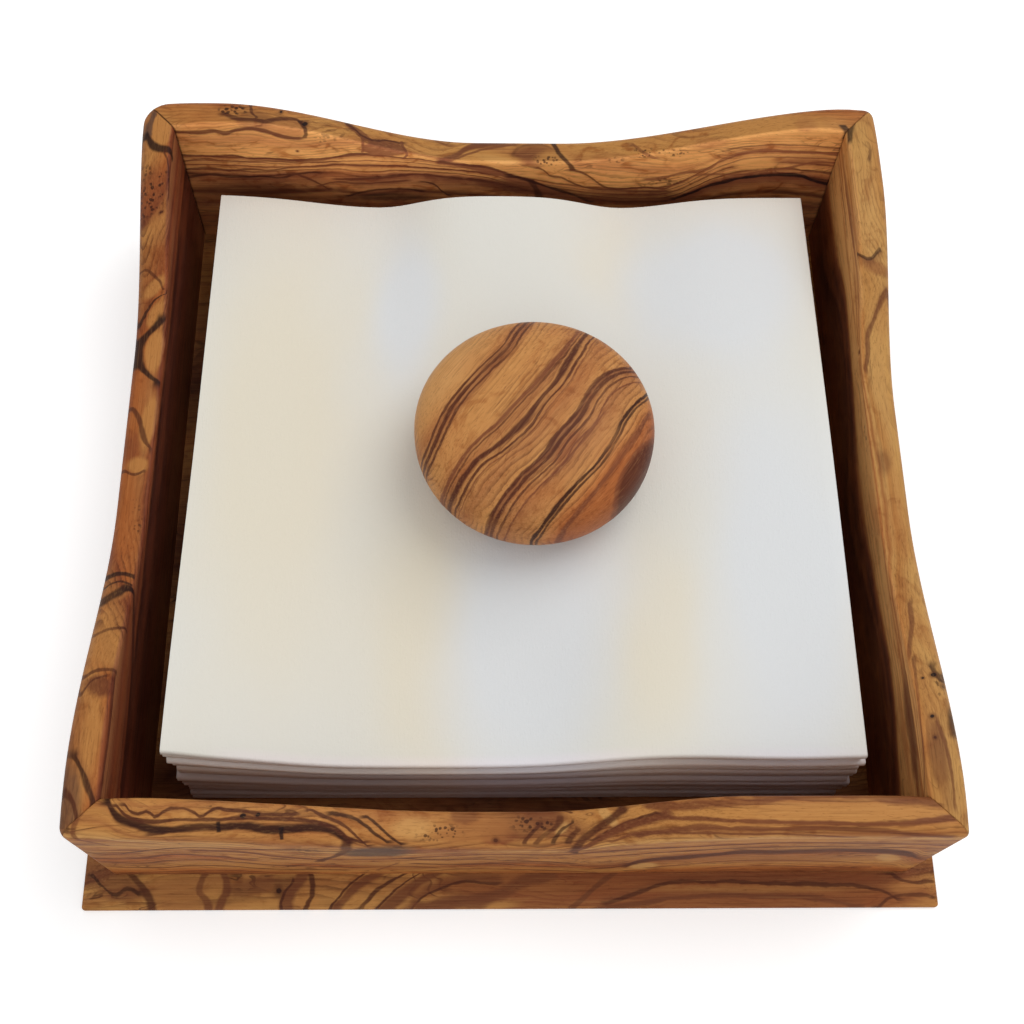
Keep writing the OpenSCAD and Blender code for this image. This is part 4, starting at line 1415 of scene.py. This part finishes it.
@dataclass
class Walls:
    """The four mitred walls. Their outer faces lean out a little and their rims are rounded over."""

    foot_t: float = 7.8 * MM
    roll: float = 3.2 * MM
    inner_roll: float = 1.2 * MM
    corner_drop: float = 1.5 * MM
    drop_start_share: float = 0.86
    foot_corner_r: float = 1.0 * MM
    glue_line: float = 0.16 * MM
    straight_stations: int = 58
    corner_step: float = 0.55 * MM
    roll_steps: int = 7
    inner_roll_steps: int = 4
    crease_deg: float = 32.0
    rims: dict[Side, Rim] = field(default_factory=lambda: {
        Side.BACK: Rim(41 * MM, (0.10, 0.14), (0.80, 0.98)),
        Side.LEFT: Rim(40 * MM, (0.14, 0.30), (0.86, 1.00)),
        Side.FRONT: Rim(41.5 * MM, (0.06, 0.10), (0.56, 1.00)),
        Side.RIGHT: Rim(43 * MM, (0.14, 0.16), (0.76, 0.90)),
    })
    corner_r: dict[Side, Spot] = field(default_factory=lambda: {
        Side.BACK: (7 * MM, 3 * MM),
        Side.LEFT: (3 * MM, 7 * MM),
        Side.FRONT: (1.5 * MM, 3 * MM),
        Side.RIGHT: (3 * MM, 1.5 * MM),
    })

    def __post_init__(self) -> None:
        """Read the walls' place from the frame."""
        low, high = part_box("back_wall")
        self.inner, self.outer = low.y, high.y
        self.foot_z, self.peak = low.z, high.z

    def _stations(self, radii: Spot) -> list[float]:
        """Places along a wall at which its section is shaped, closer together in the corners."""
        places = []
        for sign, radius in zip((-1, 1), radii):
            start = self.outer - max(radius, self.foot_corner_r)
            count = math.ceil((self.outer - start) / self.corner_step)
            places += [sign * (start + (self.outer - start) * k / count) for k in range(count)]
        reach = min(abs(place) for place in places)
        places += [reach * (2 * k / self.straight_stations - 1) for k in range(self.straight_stations + 1)]
        return sorted({round(place, PLACE_DIGITS) for place in places})

    @staticmethod
    def _pull(place: float, half: float, radius: float) -> float:
        """How far a corner's rounding draws the outer face in at a place along the wall."""
        past = abs(place) - (half - radius)
        if past <= 0:
            return 0.0
        return radius - math.sqrt(max(radius * radius - past * past, 0.0))

    def _wall(self, side: Side) -> Piece:
        """Model one wall lying along X at +Y.

        Args:
            side: Which wall it is.

        Returns:
            Its object, still in the back wall's place.
        """
        rim, radii = self.rims[side], self.corner_r[side]
        middle = (self.inner + self.outer) / 2
        clear_selection()
        bpy.ops.mesh.primitive_cube_add(
            size=1, location=(0, middle, (self.foot_z + self.peak) / 2),
            scale=(2 * self.outer, self.outer - self.inner, self.peak - self.foot_z))
        wall = added(f"{side.name.lower()}_wall_wood")
        stations = self._stations(radii)
        foot_half = self.inner + self.foot_t
        with Bench(wall) as bench:
            for place in stations:
                bench.cut((place, 0, 0), (1, 0, 0))
            lean = self.outer - foot_half
            bench.vertices(lambda v: v.y > middle and v.z < self.foot_z + TINY)
            bench.move(y=-lean)
            for place in [-self.outer, *stations, self.outer]:
                for outer in (False, True):
                    half = self.outer if outer else self.inner
                    share = min(max(place / half, -1.0), 1.0)
                    top = rim.height(share, self.peak, self.corner_drop, self.drop_start_share)
                    bench.vertices(lambda v: abs(v.x - place) < TINY and v.z > self.foot_z + TINY
                                   and (v.y > middle) == outer)
                    slope = lean * (self.peak - top) / (self.peak - self.foot_z)
                    bench.move(y=-slope if outer else 0.0, z=top - self.peak)
            high = self.foot_z + TINY
            bench.edges(lambda a, b: min(a.z, b.z) > high and min(a.y, b.y) > middle)
            bench.round_edges(self.roll, self.roll_steps)
            bench.edges(lambda a, b: min(a.z, b.z) > high and max(a.y, b.y) < self.inner + TINY)
            bench.round_edges(self.inner_roll, self.inner_roll_steps)
            for place in stations:
                radius = radii[0 if place < 0 else 1]
                pull = self._pull(place, self.outer, radius)
                if pull:
                    bench.vertices(lambda v: abs(v.x - place) < TINY and v.z > high and v.y > middle)
                    bench.move(y=-pull)
                pull = self._pull(min(abs(place), foot_half), foot_half, self.foot_corner_r)
                if pull:
                    bench.vertices(lambda v: abs(v.x - place) < TINY and v.z < high and v.y > middle)
                    bench.move(y=-pull)
            for sign in (-1, 1):
                bench.cut((0, 0, 0), (sign, -1, 0), clear=True)
            bench.tidy()
            bench.edges(lambda a, b: all(abs(abs(v.x) - v.y) < TINY for v in (a, b)))
            bench.round_edges(self.glue_line, segments=1)
        return wall

    def build(self) -> dict[Side, Piece]:
        """Model the four walls in their places.

        Returns:
            The walls by side.
        """
        walls = {}
        for side in Side:
            wall = self._wall(side)
            wall.rotation_euler.z = math.radians(side.value)
            settle(wall)
            smooth(wall, self.crease_deg)
            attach(wall, "tray")
            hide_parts(f"{side.name.lower()}_wall")
            walls[side] = wall
            LOG.info("%s: %d faces", wall.name, len(wall.data.polygons))
        return walls

    def dress(self, walls: dict[Side, Piece]) -> None:
        """Give each wall its own board of olive wood."""
        boards = {Side.FRONT: FRONT_BOARD, Side.BACK: BACK_BOARD, Side.LEFT: LEFT_BOARD,
                  Side.RIGHT: RIGHT_BOARD}
        for side, board in boards.items():
            wood = replace(board, turn=math.radians(side.value), origin=(0.0, self.inner * PER_MM, 0.0))
            walls[side].data.materials.append(wood.build())


# The base board


@dataclass
class Base:
    """The base board with its sloping margin and its countersunk screw holes."""

    lip_t: float = 1.5 * MM
    lip_round: float = 0.5 * MM
    corner_round: float = 0.9 * MM
    screw_d: float = 3.0 * MM
    screw_head_d: float = 5.8 * MM
    screw_head_h: float = 1.9 * MM
    screw_recess: float = 0.3 * MM
    screw_gap: float = 0.04 * MM
    screw_spacing: float = 120 * MM
    hole_sides: int = 32
    corner_steps: int = 4
    lip_steps: int = 3
    crease_deg: float = 28.0

    def __post_init__(self) -> None:
        """Read the board's place from the frame."""
        low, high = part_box("base_board")
        self.half, self.top = high.x, high.z
        self.overrun = self.top

    def _board(self, walls: Walls) -> Piece:
        """Model the board without its holes."""
        clear_selection()
        bpy.ops.mesh.primitive_cube_add(
            size=1, location=(0, 0, self.lip_t / 2), scale=(2 * self.half, 2 * self.half, self.lip_t))
        board = added("base_board_wood")
        flat = walls.inner + walls.foot_t
        with Bench(board) as bench:
            bench.faces(lambda c, n: n.z > UPWARD)
            bench.grow(z=self.top - self.lip_t)
            share = flat / self.half
            bench.scale((share, share, 1), (0, 0, self.top))
            bench.edges(lambda a, b: abs(a.x - b.x) < TINY and abs(a.y - b.y) < TINY)
            bench.round_edges(self.corner_round, self.corner_steps)
            bench.edges(lambda a, b: abs(a.z - b.z) < TINY and a.z < self.lip_t + TINY
                        and max(abs(a.x), abs(a.y)) > flat and max(abs(b.x), abs(b.y)) > flat)
            bench.round_edges(self.lip_round, self.lip_steps)
            bench.tidy()
        return board

    def _cutter(self) -> Piece:
        """Model the space of one countersunk screw at the origin."""
        clear_selection()
        head = self.screw_head_d / 2 + self.screw_gap
        shank = self.screw_d / 2 + self.screw_gap
        bpy.ops.mesh.primitive_circle_add(
            vertices=self.hole_sides, radius=head, fill_type="NGON", location=(0, 0, -self.overrun))
        cutter = added("screw_space")
        with Bench(cutter) as bench:
            bench.everything()
            bench.grow(z=self.overrun + self.screw_recess)
            bench.grow(z=self.screw_head_h)
            share = shank / head
            bench.scale((share, share, 1), (0, 0, 0))
            bench.grow(z=self.top + self.overrun)
            bench.tidy()
        return cutter

    def build(self, walls: Walls) -> Piece:
        """Model the board.

        Args:
            walls: The walls that stand on it.

        Returns:
            Its object.
        """
        board, first = self._board(walls), self._cutter()
        row = walls.inner + walls.foot_t / 2
        cutters = [copied(first, (side * self.screw_spacing / 2, row, 0), math.radians(turn.value))
                   for turn in Side for side in (-1, 1)]
        bpy.data.objects.remove(first)
        take(cutters[0])
        for cutter in cutters[1:]:
            cutter.select_set(True)
        bpy.ops.object.join()
        holes = bpy.context.view_layer.objects.active
        cut = board.modifiers.new("holes", "BOOLEAN")
        cut.object, cut.operation, cut.solver = holes, "DIFFERENCE", "EXACT"
        take(board)
        bpy.ops.object.modifier_apply(modifier=cut.name)
        bpy.data.objects.remove(holes)
        smooth(board, self.crease_deg)
        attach(board, "tray")
        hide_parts("base_board")
        LOG.info("%s: %d faces", board.name, len(board.data.polygons))
        return board

    def dress(self, board: Piece) -> None:
        """Give the board its darker olive wood, with painted shade on its floor inside the walls."""
        board.data.materials.append(BASE_BOARD.build())


# The weight


@dataclass
class Weight:
    """The turned weight, a squashed ball with a flat foot, tilted with the stack that it lies on."""

    fullness: float = 2.5
    foot_d: float = 34 * MM
    height: float = 29.5 * MM
    diameter: float = 59.5 * MM
    place: Spot = (5 * MM, -2.8 * MM)
    outline_steps: int = 22
    turns: int = 112
    crease_deg: float = 40.0

    def _outline(self) -> list[Spot]:
        """Radius and height of the outline's points, from the foot to the top."""
        power, middle = 2 / self.fullness, self.height / 2
        foot_share = (1 - (self.foot_d / self.diameter) ** self.fullness) ** (1 / self.fullness)
        lower = middle / foot_share
        start = -math.asin(foot_share ** (self.fullness / 2))
        points = [(0.0, 0.0)]
        for k in range(2 * self.outline_steps + 1):
            share = k / self.outline_steps - 1
            angle = start * -share if share < 0 else math.pi / 2 * share
            size = math.copysign(abs(math.sin(angle)) ** power, angle)
            radius = self.diameter / 2 * abs(math.cos(angle)) ** power
            points.append((radius, middle + size * (lower if angle < 0 else middle)))
        points[-1] = (0.0, self.height)
        return points

    def build(self, stack: Stack) -> Piece:
        """Turn the weight on the lathe and set it on the stack.

        Args:
            stack: The napkins that it lies on.

        Returns:
            Its object.
        """
        points = self._outline()
        clear_selection()
        bpy.ops.mesh.primitive_plane_add(size=MM, location=(0, 0, 0))
        weight = added("napkin_weight_wood")
        with Bench(weight) as bench:
            bench.everything()
            bpy.ops.mesh.merge(type="CENTER")
            for before, after in zip(points, points[1:]):
                bench.grow(x=after[0] - before[0], z=after[1] - before[1])
            bench.everything()
            bpy.ops.mesh.spin(steps=self.turns, angle=2 * math.pi, center=(0, 0, 0), axis=(0, 0, 1))
            bench.tidy()
        foot = stack.seat(Vector((self.place[0], self.place[1])))
        weight.matrix_world = Matrix.Translation(foot) @ Matrix.Rotation(-stack.tilt, 4, "X")
        settle(weight)
        smooth(weight, self.crease_deg)
        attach(weight, "weight")
        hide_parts("napkin_weight")
        LOG.info("%s: %d faces", weight.name, len(weight.data.polygons))
        return weight

    def dress(self, weight: Piece) -> None:
        """Give the weight its striped olive wood."""
        x, y = (place * PER_MM for place in self.place)
        cosine, sine = math.cos(WEIGHT_BLANK.turn), math.sin(WEIGHT_BLANK.turn)
        middle = (x * cosine + y * sine, y * cosine - x * sine, WEIGHT_BLANK.origin[2])
        weight.data.materials.append(replace(WEIGHT_BLANK, origin=middle).build())


# The napkins


@dataclass(frozen=True)
class Dip:
    """A dip across the napkins, with its own width on each side. Lengths are in millimetres."""

    middle: float
    left: float
    right: float
    depth: float
    power: float = 2

    def at(self, x_mm: float) -> float:
        """Its depth at a place across the napkins, in millimetres."""
        width = self.left if x_mm < self.middle else self.right
        return self.depth * math.exp(-abs((x_mm - self.middle) / width) ** self.power)


@dataclass
class Stack:
    """The stack of napkins folded in quarters, with the last fold at the front.

    Its top is higher at the front, with dips that fade along it, and flat under the weight. Shares
    are of its length from the back.
    """

    count: int = 16
    cut: float = 330 * MM
    paper_t: float = 0.3 * MM
    thickness: float = 1.7 * MM
    gap: float = 0.1 * MM
    rise: float = 10.8 * MM
    wave: float = 3.0 * MM
    middle: Spot = (0.6 * MM, 1.4 * MM)
    seat_gap: float = 0.25 * MM
    back_mm: float = 38.2
    climb_mm: float = 10.8
    crown_mm: float = 3.2
    back_dips: tuple[Dip, ...] = (Dip(-38, 27, 15, 5.8), Dip(31, 15, 20, 5.3))
    front_dips: tuple[Dip, ...] = (Dip(-22, 40, 43, 9.5, 4), Dip(65, 18, 18, 2.2), Dip(-84, 9, 9, -4.6))
    back_dips_end: float = 0.55
    front_dips_start: float = 0.42
    front_dips_length: float = 0.58
    flat_middle: Spot = (5.0, 0.525)
    flat_radius_mm: float = 20.0
    flat_blend_mm: float = 34.0
    slips: tuple[float, ...] = (0.5 * MM, 0.6 * MM, 0.7 * MM, 0.8 * MM)
    skew_deg: float = 0.25
    steps: tuple[int, int] = (26, 22)
    top_steps: tuple[int, int] = (52, 52)
    fold_steps: tuple[int, int] = (5, 9)
    crease_deg: float = 50.0
    seed: int = 7

    def __post_init__(self) -> None:
        """Work out the stack's slopes."""
        self.side = self.cut / 2
        self.tilt = math.asin(self.rise / self.side)
        self.pitch = self.thickness + self.gap
        self.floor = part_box("napkin_01")[0].z
        self.chance = random.Random(self.seed)

    def seat(self, place: Vector) -> Vector:
        """Where the weight's foot rests on the top napkin."""
        return Vector((place.x, place.y, self.foot_height(self.middle[1] + self.side / 2 - place.y)))

    def foot_height(self, run: float) -> float:
        """Height of the weight's tilted foot at a distance from the back edge."""
        level = self.floor + (self.count - 1) * self.pitch + self.thickness + self.wave + self.seat_gap
        return level + run * math.tan(self.tilt) + (level - self.floor) * (1 / math.cos(self.tilt) - 1)

    def top(self, x: float, run: float) -> float:
        """Height of the stack's top at a place.

        Args:
            x: Sideways from the stack's middle, in metres.
            run: Distance from the back edge, in metres.

        Returns:
            The height, in metres.
        """
        mm, share = x * PER_MM, min(max(run / self.side, 0.0), 1.0)
        plain = self.back_mm + self.climb_mm * share - self.crown_mm * share * share
        at_back, at_front = (sum(dip.at(mm) for dip in dips) for dips in (self.back_dips, self.front_dips))
        at_back *= 1 - ease(share / self.back_dips_end)
        at_front *= ease((share - self.front_dips_start) / self.front_dips_length)
        free = (plain - at_back - at_front) * MM
        foot = self.foot_height(run) - 2 * self.seat_gap
        flat_x, flat_share = self.flat_middle
        away = math.hypot(mm + self.middle[0] * PER_MM - flat_x, self.side * PER_MM * (share - flat_share))
        return free + (foot - free) * (1 - ease((away - self.flat_radius_mm) / self.flat_blend_mm))

    def _fold(self, t: float, half: float, radius: float) -> tuple[float, float]:
        """Where a point of a folded strip lies.

        Args:
            t: Distance along the flat strip.
            half: Length of the strip's straight part before the fold.
            radius: Radius of the fold.

        Returns:
            The place along the strip and the angle turned, from 0 to pi.
        """
        bend = math.pi * radius
        if t <= half:
            return t, 0.0
        if t >= half + bend:
            return half - (t - half - bend), math.pi
        angle = (t - half) / radius
        return half + radius * math.sin(angle), angle

    def _lines(self, half: float, radius: float, coarse: int, fine: int) -> list[float]:
        """Places of the grid's lines along the flat cut, close together at the fold."""
        bend = math.pi * radius
        first = [half * k / coarse for k in range(coarse)]
        turn = [half + bend * k / fine for k in range(fine)]
        rest = self.cut - half - bend
        last = [half + bend + rest * k / coarse for k in range(coarse + 1)]
        return first + turn + last

    def _grid(self, index: int) -> tuple[list[Point], list[Spot], int]:
        """Fold the grid of one napkin's flat cut.

        Args:
            index: Its place in the stack, from 0 at the bottom.

        Returns:
            The grid's points, their places on the flat cut, and the number of points in a row.
        """
        top = index == self.count - 1
        layer = (self.thickness - self.paper_t) / 3
        bend_r, wrap_r = layer / 2, layer * 1.5
        slip = [self.chance.uniform(-1, 1) for _ in range(5)]
        half_u = self.side - bend_r + self.slips[0] * slip[0]
        half_v = self.side - wrap_r + self.slips[1] * slip[1]
        shift = (self.slips[2] * slip[2], self.slips[3] * slip[3]) if not top else (0.0, 0.0)
        skew = math.radians(self.skew_deg) * slip[4] if not top else 0.0
        steps = self.top_steps if top else self.steps
        us = self._lines(half_u, bend_r, steps[0], self.fold_steps[0])
        vs = self._lines(half_v, wrap_r, steps[1], self.fold_steps[1])
        points, uvs = [], []
        for v in vs:
            for u in us:
                along_x, angle_u = self._fold(u, half_u, bend_r)
                h = bend_r * (1 - math.cos(angle_u))
                run, angle_v = self._fold(v, half_v, wrap_r)
                if 0 < angle_v < math.pi:
                    run = half_v + (wrap_r - h) * math.sin(angle_v)
                x = along_x - self.side / 2
                depth = wrap_r - (wrap_r - h) * math.cos(angle_v)
                each = (self.top(x, run) - self.floor) / self.count
                room = (each - self.gap - self.paper_t) / (3 * layer)
                z = self.floor + each * index + self.paper_t / 2 + depth * room
                turned_x = x * math.cos(skew) - (run - self.side / 2) * math.sin(skew)
                turned_y = self.side / 2 - run + x * math.sin(skew)
                place_x = self.middle[0] + shift[0] + turned_x
                place_y = self.middle[1] + shift[1] + turned_y
                points.append((place_x, place_y, z))
                uvs.append((u / self.cut, v / self.cut))
        return points, uvs, len(us)

    def _napkin(self, index: int) -> Piece:
        """Make one folded napkin.

        Args:
            index: Its place in the stack, from 0 at the bottom.

        Returns:
            Its object, at the place of its CAD solid.
        """
        points, uvs, wide = self._grid(index)
        faces = [(r * wide + c, r * wide + c + 1, (r + 1) * wide + c + 1, (r + 1) * wide + c)
                 for r in range(len(points) // wide - 1) for c in range(wide - 1)]
        mesh = bpy.data.meshes.new(f"folded_napkin_{index + 1:02d}")
        mesh.from_pydata(points, [], faces)
        cut = mesh.uv_layers.new(name="cut")
        for loop in mesh.loops:
            cut.data[loop.index].uv = uvs[loop.vertex_index]
        napkin = bpy.data.objects.new(mesh.name, mesh)
        bpy.context.scene.collection.objects.link(napkin)
        thick = napkin.modifiers.new("paper", "SOLIDIFY")
        thick.thickness, thick.offset = self.paper_t, 0.0
        take(napkin)
        bpy.ops.object.modifier_apply(modifier=thick.name)
        with Bench(napkin) as bench:
            bench.everything()
            bpy.ops.mesh.normals_make_consistent(inside=False)
        smooth(napkin, self.crease_deg)
        return napkin

    def build(self) -> list[Piece]:
        """Fold all the napkins.

        Returns:
            The napkins from the bottom up.
        """
        napkins = []
        for index in range(self.count):
            napkin = self._napkin(index)
            node = f"napkin_{index + 1:02d}"
            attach(napkin, "top_napkin" if index == self.count - 1 else "stack")
            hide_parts(node)
            napkins.append(napkin)
        LOG.info("napkins: %d, %d faces in all", len(napkins), sum(len(n.data.polygons) for n in napkins))
        return napkins

    def dress(self, napkins: list[Piece]) -> None:
        """Give every napkin the same embossed tissue."""
        paper = Tissue().build()
        for napkin in napkins:
            napkin.data.materials.append(paper)


@dataclass(frozen=True)
class Tissue:
    """Warm white tissue paper with a fine emboss and faint crepe, with painted yellowish and bluish light in
    soft spots and painted light and shade down the stack's front folds.

    Lengths are in millimetres. Lumps have a size across and along the flat cut, a step has two ends,
    and a spot has its middle and its half sizes on the flat cut.
    """

    base: Rgb = (227, 225, 217)
    # The next two colours are painted light, a yellowish bounce and a bluish tint of the sky, laid on in
    # soft spots of the flat cut.
    painted_warm_light: Rgb = (230, 222, 203)
    painted_sky_light: Rgb = (224, 226, 227)
    # The next two colours are painted light and shade on the front folds: lighter high up, darker low in the
    # stack.
    edge: Rgb = (262, 257, 264)
    painted_front_shade: Rgb = (222, 210, 220)
    cut_mm: float = 330.0
    dot_mm: float = 1.15
    dot_spread: float = 0.6
    dot_step: Spot = (0.15, 0.42)
    crepe: Spot = (0.35, 2.2)
    fibre_scale: float = 0.9
    cloud: Spot = (46, 90)
    painted_warm_step: Spot = (0.0, 0.9)
    painted_sky_step: Spot = (0.1, 0.8)
    front_face: Spot = (-80.5, -77.5)
    below_rim: Spot = (42.0, 47.0)
    painted_front_shade_step: Spot = (22.0, 34.0)
    # Soft spots of the painted yellowish and bluish light, as middle and half sizes on the flat cut.
    painted_warm_spots: tuple[Blot, ...] = ((112, 312, 15, 24), (62, 190, 14, 40), (118, 198, 12, 34), (22, 250, 24, 80))
    painted_sky_spots: tuple[Blot, ...] = ((54, 292, 11, 28), (84, 196, 22, 40), (150, 210, 20, 60), (140, 300, 24, 22))
    roughness: float = 0.86
    specular: float = 0.2
    relief_m: float = 0.0002

    def build(self) -> Finish:
        """Make the material.

        Returns:
            The material.
        """
        g = Skin("tissue_paper")
        u, v, _ = (place * self.cut_mm for place in g.split(g.node("TexCoord", output="UV")))
        _, y, z = (place * PER_MM for place in g.split(g.node("TexCoord", output="Object")))
        crepe = g.noise(g.vector(u / self.crepe[0], v / self.crepe[1], 0.0), 3.0, 0.6)
        scaled = {0: g.vector(u, v, 0.0), "Scale": self.fibre_scale}
        fibre = g.noise(g.node("VectorMath", scaled, operation="SCALE"), 4.0, 0.7)
        dots = g.cells(g.vector(u / self.dot_mm, v / self.dot_mm, 0.0), self.dot_spread).fall(*self.dot_step)
        cloud = g.noise(g.vector(u / self.cloud[0], v / self.cloud[1], 0.0), 2.0, 0.5)
        # Painted yellowish and bluish light in soft spots, varied by the cloud noise.
        painted_warm_spots, painted_sky_light = (self._spots(g, u, v, spots) for spots in (self.painted_warm_spots, self.painted_sky_spots))
        color = g.mix((painted_warm_spots + cloud).rise(*self.painted_warm_step), linear(self.base), linear(self.painted_warm_light))
        color = g.mix((painted_sky_light - cloud).rise(*self.painted_sky_step), color, linear(self.painted_sky_light))
        # Painted light and shade on the stack's front folds below the rim, going darker further down.
        depth = g.mix(z.rise(*self.painted_front_shade_step), linear(self.painted_front_shade), linear(self.edge))
        color = g.mix(y.fall(*self.front_face) * z.fall(*self.below_rim), color, depth, "MULTIPLY")
        bumps = [(crepe * 0.6 + fibre * 0.5, 0.4, self.relief_m), (dots, 0.1, self.relief_m)]
        return g.surface(color, self.roughness, bumps, Specular_IOR_Level=self.specular)

    @staticmethod
    def _spots(g: Skin, u: Field, v: Field, spots: Sequence[Blot]) -> Field:
        """Soft spots on the flat cut."""
        total = None
        for middle_u, middle_v, half_u, half_v in spots:
            away = ((u - middle_u) / half_u).squared() + ((v - middle_v) / half_v).squared()
            near = g.math("EXPONENT", -away)
            total = near if total is None else total + near
        return total


# Small hardware


@dataclass(frozen=True)
class PlatedSteel:
    """Zinc-plated steel for the screws, with faint blotches."""

    light: Rgb = (196, 196, 192)
    dull: Rgb = (162, 158, 146)
    blotches: Spot = (-0.2, 0.3)
    roughness: float = 0.32
    roughness_change: float = 0.25
    relief_m: float = 0.00005

    def build(self) -> Finish:
        """Make the material.

        Returns:
            The material.
        """
        g = Skin("zinc_plate")
        scaled = {0: g.node("TexCoord", output="Object"), "Scale": PER_MM}
        blotch = g.noise(g.node("VectorMath", scaled, operation="SCALE"), 3.0, 0.6)
        color = g.mix(blotch.rise(*self.blotches), linear(self.light), linear(self.dull))
        rough = self.roughness + blotch * self.roughness_change
        return g.surface(color, rough, [(blotch, 0.1, self.relief_m)], Metallic=1.0)


def planed_key() -> OliveWood:
    """The splines' bare planed wood."""
    guides = (Guide(0.0, level(-60)), Guide(1.0, level(10)))
    return OliveWood("spline_wood", LEVEL_CORE, guides, seed=52.0, line_strength=0.2)


def dress_node(name: str, material: Finish) -> None:
    """Put one material on a CAD node."""
    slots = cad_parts[name].data.materials
    slots.clear()
    slots.append(material)


# The set


@dataclass(frozen=True)
class Studio:
    """Camera, lamps, floor and world."""

    focal_px: float = 1457.79
    pitch_deg: float = 65.7735
    yaw_deg: float = -2.9747
    roll_deg: float = 2.8184
    eye: Point = (-8.197 * MM, -168.413 * MM, 379.383 * MM)
    sensor_mm: float = 36.0
    clip_start: float = 10 * MM
    floor_side: float = 6.0
    floor_drop: float = 0.05 * MM
    floor_shade: float = 0.86
    floor_glow: float = 0.42
    sky: float = 0.6
    key_power: float = 7.2
    key_size: float = 1.1
    key_place: Point = (0.6, 0.4, 1.2)
    fill_power: float = 4.2
    fill_size: float = 1.8
    fill_place: Point = (-0.2, -1.3, 0.9)

    def camera(self) -> None:
        """Stand the camera where the photograph was taken."""
        yaw = Matrix.Rotation(math.radians(self.yaw_deg), 3, "Z")
        pitch, roll = math.radians(self.pitch_deg), math.radians(self.roll_deg)
        ahead = yaw @ Vector((0, math.cos(pitch), -math.sin(pitch)))
        up = yaw @ Vector((0, math.sin(pitch), math.cos(pitch)))
        right = yaw @ Vector((1, 0, 0))
        side = right * math.cos(roll) + up * math.sin(roll)
        crown = up * math.cos(roll) - right * math.sin(roll)
        data = bpy.data.cameras.new("camera")
        data.sensor_width = self.sensor_mm
        data.lens = self.focal_px / IMAGE_SIDE * self.sensor_mm
        data.clip_start = self.clip_start
        camera = bpy.data.objects.new("camera", data)
        bpy.context.scene.collection.objects.link(camera)
        turn = Matrix((side, crown, -ahead)).transposed().to_4x4()
        camera.matrix_world = Matrix.Translation(self.eye) @ turn
        bpy.context.scene.camera = camera

    @staticmethod
    def _lamp(name: str, size: float, power: float, place: Point) -> None:
        """Hang one round soft lamp that shines at the origin."""
        data = bpy.data.lights.new(name, "AREA")
        data.shape, data.size, data.energy = "DISK", size, power
        lamp = bpy.data.objects.new(name, data)
        bpy.context.scene.collection.objects.link(lamp)
        lamp.location = place
        lamp.rotation_euler = (-Vector(place)).to_track_quat("-Z", "Y").to_euler()

    def lamps(self) -> None:
        """Hang two large soft lamps and an even sky."""
        self._lamp("key", self.key_size, self.key_power, self.key_place)
        self._lamp("fill", self.fill_size, self.fill_power, self.fill_place)
        world = bpy.data.worlds.new("studio")
        world.use_nodes = True
        g = Graph(world.node_tree)
        sky = {0: g.node("LightPath", output="Is Camera Ray"),
               1: g.node("Background", {"Color": WHITE, "Strength": self.sky}),
               2: g.node("Background", {"Color": WHITE})}
        g.raw("OutputWorld", {0: g.node("MixShader", sky)})
        bpy.context.scene.world = world

    def floor(self) -> None:
        """Lay a pale floor that reads as white to the camera and keeps the shadow."""
        clear_selection()
        bpy.ops.mesh.primitive_plane_add(size=self.floor_side, location=(0, 0, -self.floor_drop))
        floor = added("floor")
        g = Skin("pale_floor")
        shade = (self.floor_shade, self.floor_shade, self.floor_shade, 1)
        glow = {"Color": WHITE, "Strength": g.node("LightPath", output="Is Camera Ray") * self.floor_glow}
        both = {0: g.node("BsdfDiffuse", {"Color": shade}), 1: g.node("Emission", glow)}
        g.raw("OutputMaterial", {0: g.node("AddShader", both)})
        floor.data.materials.append(g.material)

    def build(self) -> None:
        """Set up the whole studio."""
        self.camera()
        self.lamps()
        self.floor()
        bpy.context.scene.view_settings.view_transform = "Standard"


def main() -> None:
    """Build every piece in order, dress it and set up the studio."""
    logging.basicConfig(level=logging.INFO, format="%(message)s")
    walls, base, stack, weight = Walls(), Base(), Stack(), Weight()
    boards = walls.build()
    walls.dress(boards)
    board = base.build(walls)
    base.dress(board)
    napkins = stack.build()
    stack.dress(napkins)
    turned = weight.build(stack)
    weight.dress(turned)
    dress_node("base_screws", PlatedSteel().build())
    dress_node("mitre_splines", planed_key().build())
    Studio().build()


if __name__ == "__main__":
    main()
